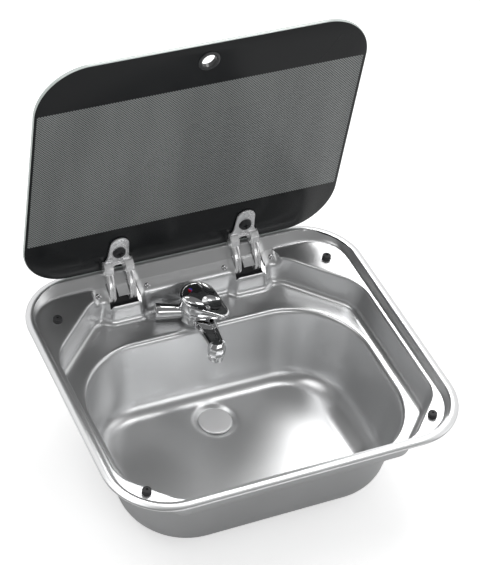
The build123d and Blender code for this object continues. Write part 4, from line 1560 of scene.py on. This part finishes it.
# ---------------------------------------------------------------------------------------------------
# The tap, measured from its upright axis and from the deck
# ---------------------------------------------------------------------------------------------------
@dataclass
class MixerTap:
    """The low mixer tap: a crown with its wing, a swivelling spout and a lever."""

    finishes: Finishes
    pressing: Pressing
    radius: float = 21.5
    core: Corners = (
        (0.0, -30.0, 0.0), (13.0, -30.0, 0.6), (13.0, 0.8, 0.0), (16.5, 0.8, 0.2), (16.5, 2.6, 0.6), (17.7, 4.0, 0.2),
        (14.9, 4.0, 0.0), (14.9, 16.2, 0.0), (12.0, 16.2, 0.0), (12.0, 21.0, 0.0), (0.0, 21.0, 0.0),
    )
    inlet_x: float = 7.2
    inlet_radius: float = 3.5
    inlet_depth: float = 14.0
    inlet_low: float = -25.0
    crown: tuple[float, float] = (16.2, 21.0)
    crown_bore: float = 12.0
    ring: tuple[float, float] = (4.1, 15.95)
    ring_bore: float = 14.95
    wing_yaw: float = -105.0
    wing: Corners = (
        (12.0, 12.2, 8.8), (20.0, 12.2, 8.8), (26.0, 12.3, 8.9), (34.0, 12.6, 9.5), (44.0, 13.0, 10.4),
        (49.8, 13.2, 10.8),
    )
    wing_edge: float = 0.7
    spout_yaw: float = -3.5
    spout_rows: tuple[tuple[float, float, float, float], ...] = (
        (17.0, 10.75, 25.0, 12.5), (22.0, 11.45, 28.2, 13.5), (30.0, 12.55, 26.8, 14.1), (38.0, 13.85, 24.6, 13.9),
        (46.0, 15.1, 22.8, 13.4), (54.0, 16.15, 21.4, 12.7), (65.0, 16.85, 20.0, 12.1),
    )
    nozzle_reach: float = 66.0
    nozzle_radius: float = 9.4
    nozzle_low: float = 5.5
    nozzle_rim: float = 2.0
    flutes: int = 14
    flute_depth: float = 1.1
    bar_pitch: float = 1.9
    bar_half: float = 0.25
    spout_top: float = 23.0
    outlet: float = -2.5
    lever_yaw: float = 34.0
    lever_low: float = 23.0
    lever_high: float = 37.2
    lever_radius: float = 23.2
    lever_tip: float = 31.0
    tip_radius: float = 10.0
    brow: float = 4.0
    brow_bend: float = 70.0
    fall: float = 10.5
    lever_centre: float = -9.0
    lever_search: float = 60.0
    lever_edge: float = 2.2
    lever_skirt: Outline = ((1.6, 0.0), (0.7, 0.3), (0.5, 1.0), (0.15, 4.0))
    lever_top: Outline = (
        (3.3, 0.0), (3.55, 0.12), (3.9, 0.55), (4.4, 0.6), (6.0, 0.6), (8.0, 0.6), (9.6, 0.6),
    )
    scoops: tuple[tuple[tuple[float, float, float], tuple[float, float, float], float], ...] = (
        ((0.8, -20.5, 37.8), (15.6, 16.8, 8.4), -4.0),
        ((-12.5, -5.0, 39.0), (9.5, 19.0, 9.5), 12.0),
        ((15.2, -3.0, 40.6), (7.2, 20.0, 8.0), -12.0),
    )

    def at(self, yaw: float, reach: float, height: float) -> Vector:
        """A point beside the tap.

        Args:
            yaw: Its direction, turned from straight ahead to the right, in degrees.
            reach: How far it lies from the axis.
            height: How far it lies above the deck.

        Returns:
            The point.
        """
        angle = math.radians(yaw)
        y = self.pressing.tap_y - reach * math.cos(angle)
        return Vector((reach * math.sin(angle), y, self.pressing.deck + height))

    def across(self, yaw: float, reach: float, height: float) -> Matrix:
        """A plane across a horizontal direction: its x runs sideways and its y up.

        Args:
            yaw: The direction, turned from straight ahead to the right, in degrees.
            reach: How far the plane lies from the axis.
            height: How far its middle lies above the deck.

        Returns:
            The plane's frame.
        """
        cos, sin = math.cos(math.radians(yaw)), math.sin(math.radians(yaw))
        return axes(self.at(yaw, reach, height), (cos, sin, 0), (sin, -cos, 0))

    @property
    def upright(self) -> Matrix:
        """The tap's axis, with z = 0 on the deck."""
        return Matrix.Translation((0, self.pressing.tap_y, self.pressing.deck))

    @property
    def lever_frame(self) -> Matrix:
        """The lever's frame: x to its right, -y to its tip."""
        return self.upright @ Matrix.Rotation(math.radians(self.lever_yaw), 4, "Z")

    def build(self) -> None:
        """Make every part of the tap."""
        self.body()
        self.crown_and_wing()
        self.spout()
        self.aerator()
        self.lever()
        log.info("mixer tap")

    def body(self) -> None:
        """The turned body: a foot on the deck, the core that the spout swivels on and two inlet sockets."""
        shape = bmesh.new()
        turn_profile(shape, self.core, self.upright, 72)
        piece = finish_mesh("tap_core", shape, Body.SINK, self.finishes["polished_chrome"], sharp=35.0)
        sockets = bmesh.new()
        for x in (-self.inlet_x, self.inlet_x):
            place = self.upright @ Matrix.Translation((x, 0, self.inlet_low))
            add_rod(sockets, self.inlet_radius, self.inlet_depth, place)
        cut_with(piece, sockets)
        sharpen(piece, 35.0)
        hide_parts("tap_body")

    def wing_rows(self) -> list[tuple[float, float, float]]:
        """The wing's reach, height and radius from its root to its hollow end."""
        end, height, radius = self.wing[-1]
        rows = list(self.wing)
        for turn in (math.radians(30.0), math.radians(60.0), math.radians(90.0)):
            inset = self.wing_edge * (1 - math.cos(turn))
            rows.append((end + self.wing_edge * math.sin(turn), height, radius - inset))
        hollow = radius * 0.66
        return rows + [(end + self.wing_edge, height, hollow), (end + 0.2, height, 0.9 * hollow)]

    def crown_and_wing(self) -> None:
        """The ring under the lever and the stub that points left, both fixed."""
        low, high = self.crown
        chrome = self.finishes["polished_chrome"]
        shape = bmesh.new()
        turn_profile(shape, (
            (self.crown_bore, low, 0.0), (self.radius, low, 0.35), (self.radius, high, 0.9),
            (self.crown_bore, high, 0.0),
        ), self.upright, 96, loop=True)
        crown = finish_mesh("tap_crown_ring", shape, Body.SINK, chrome, sharp=35.0)
        shape = bmesh.new()
        wrap_grid(shape, [
            placed(round_section(2 * radius, 2 * radius, radius - 0.01, 14), self.across(self.wing_yaw, reach, height))
            for reach, height, radius in self.wing_rows()
        ], closed=True)
        wing = finish_mesh("tap_wing", shape, Body.SINK, chrome)
        cutter = bmesh.new()
        turn_profile(cutter, (
            (0.0, -2.0, 0.0), (self.radius + 0.4, -2.0, 0.0), (self.radius + 0.4, low + 0.05, 0.0),
            (self.crown_bore, low + 0.05, 0.0), (self.crown_bore, 40.0, 0.0), (0.0, 40.0, 0.0),
        ), self.upright, 96)
        cut_with(wing, cutter)
        sharpen(wing, 35.0)
        for piece in (crown, wing):
            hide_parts("tap_crown")

    def spout_section(self, width: float, height: float, crease: float) -> list[tuple[float, float]]:
        """Across the spout: a flat top with a low crease, slanting shoulders and a round belly.

        Args:
            width: The spout's width here.
            height: Its height here.
            crease: The crease's rise.

        Returns:
            The outline.
        """
        half, top, flat = width / 2, height / 2, width * 0.34
        corners = (
            (-half * 0.62, -top, 3.0), (half * 0.62, -top, 3.0), (half, -top * 0.25, 2.2), (half, top * 0.45, 1.0),
            (flat, top, 0.45), (flat * 0.42 + 0.9, top, 0.25), (flat * 0.42, top + crease, 0.2),
            (flat * 0.42 - 0.9, top, 0.25), (-flat, top, 0.45), (-half, top * 0.45, 1.0), (-half, -top * 0.25, 2.2),
        )
        return rounded(corners, loop=True, steps=3)

    def spout(self) -> None:
        """The swivelling ring, the arm that grows out of it and the faceted head over the outlet."""
        chrome = self.finishes["polished_chrome"]
        shape = bmesh.new()
        rings = []
        for reach, middle, width, height in self.spout_rows:
            crease = 0.08 + 0.6 * min(max((reach - 34.0) / 6.0, 0.0), 1.0)
            section = self.spout_section(width, height, crease)
            rings.append(placed(section, self.across(self.spout_yaw, reach, middle)))
        wrap_grid(shape, rings, closed=True)
        arm = finish_mesh("spout_arm_tube", shape, Body.SPOUT, chrome)
        cutter = bmesh.new()
        low, high = self.ring
        turn_profile(cutter, (
            (0.0, -5.0, 0.0), (self.ring_bore, -5.0, 0.0), (self.ring_bore, high, 0.0),
            (self.radius + 0.3, high, 0.0), (self.radius + 0.3, 60.0, 0.0), (0.0, 60.0, 0.0),
        ), self.upright, 96)
        cut_with(arm, cutter)
        sharpen(arm, 32.0)
        shape = bmesh.new()
        turn_profile(shape, (
            (self.ring_bore, low, 0.0), (self.radius - 1.2, low, 0.8), (self.radius, low + 1.6, 0.8),
            (self.radius, high, 0.4), (self.ring_bore, high, 0.0),
        ), self.upright, 96, loop=True)
        ring = finish_mesh("spout_ring", shape, Body.SPOUT, chrome, sharp=35.0)
        head = self.spout_head()
        for piece in (arm, ring, head):
            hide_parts("spout")

    def spout_head(self) -> bpy.types.Object:
        """The eight-sided head: flat facets fall from its top to a collar over the outlet."""
        centre = self.at(self.spout_yaw, self.nozzle_reach, 0.0)
        place = Matrix.Translation(centre) @ Matrix.Rotation(math.radians(self.spout_yaw + 22.5), 4, "Z")
        shape = bmesh.new()
        low = self.nozzle_low
        rows = ((9.6, low), (10.4, low + 0.8), (10.9, 13.4), (10.4, 17.4), (6.6, self.spout_top))
        turn = [math.tau * index / 8 for index in range(8)]
        rings = [
            np.array([tuple(place @ Vector((reach * math.cos(a), reach * math.sin(a), height))) for a in turn])
            for reach, height in rows
        ]
        wrap_grid(shape, rings, closed=True)
        bevel_edges(shape, 0.35, 2, 20.0)
        return finish_mesh("spout_head", shape, Body.SPOUT, self.finishes["polished_chrome"], sharp=12.0)

    def aerator(self) -> None:
        """The fluted outlet ring with its flow straightener."""
        centre = self.at(self.spout_yaw, self.nozzle_reach, 0.0)
        radius, low, bore = self.nozzle_radius, self.nozzle_low, self.nozzle_radius - self.nozzle_rim
        turns = np.linspace(0.0, math.tau, 12 * self.flutes, endpoint=False)
        flute = 1.0 - np.clip(1.9 * np.cos(turns * self.flutes) + 0.4, 0.0, 1.0)
        rings = []
        for deep, size, height in (
            (0.0, radius - 0.6, low), (0.0, radius, low - 0.5), (0.15, radius, low - 1.0), (1.0, radius, low - 1.4),
            (1.0, radius, self.outlet + 0.9), (0.8, radius - 0.4, self.outlet + 0.1),
            (0.0, radius - 1.6, self.outlet), (0.0, bore, self.outlet + 0.3), (0.0, bore, self.outlet + 1.2),
        ):
            reach = size - self.flute_depth * deep * flute
            level = np.full_like(turns, centre.z + height)
            rings.append(np.stack([centre.x + reach * np.cos(turns), centre.y + reach * np.sin(turns), level], axis=1))
        shape = bmesh.new()
        wrap_grid(shape, rings, closed=True)
        piece = finish_mesh("aerator_ring", shape, Body.SPOUT, self.finishes["polished_chrome"], sharp=40.0)
        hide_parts("aerator")
        shape = bmesh.new()
        for index in range(-3, 4):
            middle = index * self.bar_pitch
            reach = math.sqrt(bore ** 2 - middle ** 2)
            low, high = middle - self.bar_half, middle + self.bar_half
            outline = [(-reach, low), (reach, low), (reach, high), (-reach, high)]
            for turned in (0.0, math.pi / 2):
                place = Matrix.Translation(centre) @ Matrix.Rotation(turned, 4, "Z")
                add_prism(shape, outline, self.outlet + 0.5, self.outlet + 1.6, place)
        piece = finish_mesh("aerator_grid", shape, Body.SPOUT, self.finishes["grey_moulding"], sharp=30.0)
        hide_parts("aerator")

    def lever_distance(self, x: np.ndarray, y: np.ndarray) -> np.ndarray:
        """Distance to the lever's outline: a large circle on the axis and a small one at the tip.

        Args:
            x: Places to the lever's right.
            y: Places behind its axis.

        Returns:
            The distance at each place, negative inside.
        """
        lean = (self.lever_radius - self.tip_radius) / self.lever_tip
        flat = math.sqrt(1 - lean * lean)
        side, ahead = np.abs(x), -y
        along = ahead * flat - side * lean
        straight = side * flat + ahead * lean - self.lever_radius
        near_tip = np.hypot(side, ahead - self.lever_tip) - self.tip_radius
        near_axis = np.hypot(side, ahead) - self.lever_radius
        return np.where(along < 0, near_axis, np.where(along > flat * self.lever_tip, near_tip, straight))

    def lever_ring(self, inset: float, height: float | None, dip: float = 0.0, around: int = 144) -> np.ndarray:
        """One ring of the lever.

        Args:
            inset: How far it lies inside the outline.
            height: Its height above the deck, or None to lie on the lever's top.
            dip: How far under the top it lies.
            around: Its points.

        Returns:
            The ring in the world, in millimetres.
        """
        angle = np.linspace(0.0, math.tau, around, endpoint=False)
        cos, sin = np.cos(angle), np.sin(angle)
        reach = find_edge(
            lambda far: self.lever_distance(far * cos, self.lever_centre + far * sin) < -inset,
            np.zeros_like(angle), np.full_like(angle, self.lever_search), 24,
        )
        x, y = reach * cos, self.lever_centre + reach * sin
        rate = math.tan(math.radians(self.fall))
        slope = self.brow - y
        drop = rate * (np.sqrt(slope * slope + self.brow_bend) + slope) / 2
        top = self.lever_high - drop - dip
        z = top if height is None else np.minimum(height, top)
        return np.array([tuple(self.lever_frame @ Vector(point)) for point in zip(x, y, z)])

    def lever(self) -> None:
        """The lever: a drop-shaped cap with scooped sides and a thumb rest."""
        low, bend = self.lever_low, self.lever_edge
        rings = [self.lever_ring(4.2, low + 5.5), self.lever_ring(4.0, low)]
        rings += [self.lever_ring(inset, low + lift) for inset, lift in self.lever_skirt]
        for turn in (math.radians(degrees) for degrees in (0.0, 18.0, 36.0, 54.0, 72.0, 90.0)):
            rings.append(self.lever_ring(bend * (1 - math.cos(turn)), None, bend * (1 - math.sin(turn))))
        rings += [self.lever_ring(inset, None, dip) for inset, dip in self.lever_top]
        shape = bmesh.new()
        wrap_grid(shape, rings, closed=True)
        piece = finish_mesh("lever_cap", shape, Body.LEVER, self.finishes["polished_chrome"])
        for centre, radii, turned in self.scoops:
            scoop = bmesh.new()
            place = self.lever_frame @ Matrix.Translation(centre) @ Matrix.Rotation(math.radians(turned), 4, "Z")
            bmesh.ops.create_uvsphere(
                scoop, u_segments=64, v_segments=40, radius=1.0, matrix=place @ Matrix.Diagonal((*radii, 1.0))
            )
            cut_with(piece, scoop)
        for face in piece.data.polygons:
            face.use_smooth = True
        sharpen(piece, 24.0)
        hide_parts("tap_lever")


# ---------------------------------------------------------------------------------------------------
# Camera and studio
# ---------------------------------------------------------------------------------------------------
@dataclass(frozen=True)
class PhotoCamera:
    """The camera that took the photograph, fitted to the sink's known sizes."""

    focal_px: float = 1969.3
    azimuth: float = -27.64
    elevation: float = 42.99
    roll: float = 6.59
    place: tuple[float, float, float] = (-773.55, -1358.04, 1564.92)
    centre_px: tuple[float, float] = (199.0, 281.77)
    width_px: int = 480
    height_px: int = 565
    sensor_mm: float = 36.0

    def build(self) -> None:
        """Make the camera and set it as the scene's own."""
        az, el, roll = (math.radians(v) for v in (self.azimuth, self.elevation, self.roll))
        back = Vector((math.sin(az) * math.cos(el), -math.cos(az) * math.cos(el), math.sin(el)))
        right = Vector((math.cos(az), math.sin(az), 0.0))
        up = back.cross(right)
        rolled_right = right * math.cos(roll) + up * math.sin(roll)
        rolled_up = up * math.cos(roll) - right * math.sin(roll)
        data = bpy.data.cameras.new("photo_camera")
        data.sensor_width = self.sensor_mm
        data.sensor_fit = "AUTO"
        data.lens = self.focal_px * self.sensor_mm / self.height_px
        data.shift_x = (self.width_px / 2 - self.centre_px[0]) / self.height_px
        data.shift_y = (self.centre_px[1] - self.height_px / 2) / self.height_px
        data.clip_end = 30.0
        camera = bpy.data.objects.new("photo_camera", data)
        bpy.context.scene.collection.objects.link(camera)
        matrix = Matrix((rolled_right, rolled_up, back)).transposed().to_4x4()
        matrix.translation = Vector(self.place) * MM
        camera.matrix_world = matrix
        bpy.context.scene.camera = camera


@dataclass(frozen=True)
class SoftLight:
    """One rectangular soft light; its places are in metres and its power in watts."""

    name: str
    place_m: tuple[float, float, float]
    aim_m: tuple[float, float, float]
    size_m: tuple[float, float]
    power: float

    def build(self) -> None:
        """Hang the light and point it."""
        data = bpy.data.lights.new(self.name, "AREA")
        data.shape = "RECTANGLE"
        data.size, data.size_y = self.size_m
        data.energy = self.power
        lamp = bpy.data.objects.new(self.name, data)
        bpy.context.scene.collection.objects.link(lamp)
        lamp.location = self.place_m
        lamp.rotation_euler = (Vector(self.aim_m) - Vector(self.place_m)).to_track_quat("-Z", "Y").to_euler()


LIGHTS = (
    SoftLight("overhead", (-1.0, 0.3, 2.1), (0.0, 0.0, 0.0), (1.3, 1.2), 10.0),
    SoftLight("right_strip", (2.0, -0.7, 1.3), (0.0, 0.0, 0.0), (0.8, 1.6), 4.0),
    SoftLight("top_strip", (0.72, 0.45, 2.0), (0.0, 0.0, 0.0), (0.9, 0.35), 5.0),
    SoftLight("front_strip", (0.5, -2.1, 1.15), (0.0, 0.0, 0.0), (1.8, 0.6), 8.0),
    SoftLight("back_box", (0.85, 1.5, 2.0), (0.0, -0.1, 0.0), (1.1, 0.9), 14.0),
)


@dataclass(frozen=True)
class Studio:
    """A white floor before a white backdrop; the room behind the camera is darker in reflections."""

    floor_m: float
    floor_half_m: float = 6.0
    floor_white: float = 0.86
    floor_roughness: float = 0.9
    floor_specular: float = 0.1
    floor_glow: float = 0.48
    fill: float = 0.55
    dark_side: float = 0.18
    backdrop_way: tuple[float, float, float] = (0.34, 0.86, 0.10)
    backdrop_edge: tuple[float, float] = (-0.10, 0.50)

    def build(self) -> None:
        """Make the floor, the room's light and the lamps."""
        self.floor()
        self.room()
        bpy.context.scene.view_settings.view_transform = "Standard"
        for light in LIGHTS:
            light.build()

    def floor(self) -> None:
        """Lay the floor under the sink's outlet pipes."""
        shape = bmesh.new()
        bmesh.ops.create_grid(shape, x_segments=4, y_segments=4, size=self.floor_half_m)
        bmesh.ops.translate(shape, vec=(0, 0, self.floor_m), verts=shape.verts)
        mesh = bpy.data.meshes.new("studio_floor")
        shape.to_mesh(mesh)
        shape.free()
        floor = bpy.data.objects.new("studio_floor", mesh)
        bpy.context.scene.collection.objects.link(floor)
        mesh.materials.append(self.floor_paint())

    def room(self) -> None:
        """Light the room evenly, and show steel and glass a white backdrop before a dark room."""
        world = bpy.data.worlds.new("studio_world")
        bpy.context.scene.world = world
        world.use_nodes = True
        wiring = Wiring(world.node_tree)
        rays = wiring.add("LightPath").outputs
        direct = wiring.math("ADD", rays["Is Camera Ray"], rays["Is Glossy Ray"])
        seen = wiring.math("ADD", direct, rays["Is Transmission Ray"], clamp=True)
        way = wiring.add("TexCoord").outputs["Generated"]
        away = wiring.step(wiring.vector("DOT_PRODUCT", way, self.backdrop_way), *self.backdrop_edge)
        backdrop = wiring.math("MULTIPLY_ADD", away, 1.0 - self.dark_side, self.dark_side)
        seen = wiring.math("MAXIMUM", rays["Is Camera Ray"], wiring.math("MULTIPLY", seen, backdrop))
        mirrored = wiring.math("MULTIPLY", wiring.math("SUBTRACT", 1.0, rays["Is Diffuse Ray"]), seen)
        lit = wiring.math("MULTIPLY", rays["Is Diffuse Ray"], self.fill)
        sky = world.node_tree.nodes["Background"]
        sky.inputs["Color"].default_value = (1.0, 1.0, 1.0, 1.0)
        wiring.feed(sky.inputs["Strength"], wiring.math("ADD", mirrored, lit))

    def floor_paint(self) -> bpy.types.Material:
        """White paint that takes the object's shadow and stays white elsewhere."""
        material, wiring, shader = blank_material("studio_floor")
        shader.inputs["Base Color"].default_value = (self.floor_white, self.floor_white, self.floor_white, 1.0)
        shader.inputs["Roughness"].default_value = self.floor_roughness
        shader.inputs["Specular IOR Level"].default_value = self.floor_specular
        shader.inputs["Emission Color"].default_value = (1.0, 1.0, 1.0, 1.0)
        camera = wiring.add("LightPath").outputs["Is Camera Ray"]
        wiring.feed(shader.inputs["Emission Strength"], wiring.math("MULTIPLY", camera, self.floor_glow))
        return material


# ---------------------------------------------------------------------------------------------------
# Putting it together
# ---------------------------------------------------------------------------------------------------
def node_middle(node: str) -> tuple[float, float, float]:
    """The middle of a CAD node's box, in metres."""
    low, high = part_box(node)
    return tuple((a + b) / 2 for a, b in zip(low, high))


def make_finishes() -> Finishes:
    """Make every material, by its name."""
    effects = Effects.build()
    finishes = {finish.name: finish.make(effects) for finish in FINISHES}
    finishes["printed_glass"] = LidPrint().make()
    finishes["index_print"] = IndexPrint(node_middle("index_mark")).make()
    return finishes


def dress_cad_nodes(finishes: Finishes) -> None:
    """Give each CAD node that stays its finish.

    Args:
        finishes: The materials by name.
    """
    for finish, nodes in CAD_FINISHES.items():
        for node in nodes:
            for place in bpy.data.objects[node].material_slots:
                place.material = finishes[finish]
        log.info("%s: %s", finish, ", ".join(nodes))


def main() -> None:
    """Build the studio and dress every piece."""
    logging.basicConfig(level=logging.INFO, format="%(message)s")
    PhotoCamera().build()
    finishes = make_finishes()
    dress_cad_nodes(finishes)
    pressing, lid = Pressing(finishes), GlassLid(finishes)
    pressing.build()
    lid.build()
    for side in Side:
        Hinge(finishes, side, lid).build()
    Buffers(finishes, pressing).build()
    MixerTap(finishes, pressing).build()
    DrainPlug(finishes, pressing).build()
    Studio(cad_box[0][2]).build()


if __name__ == "__main__":
    main()
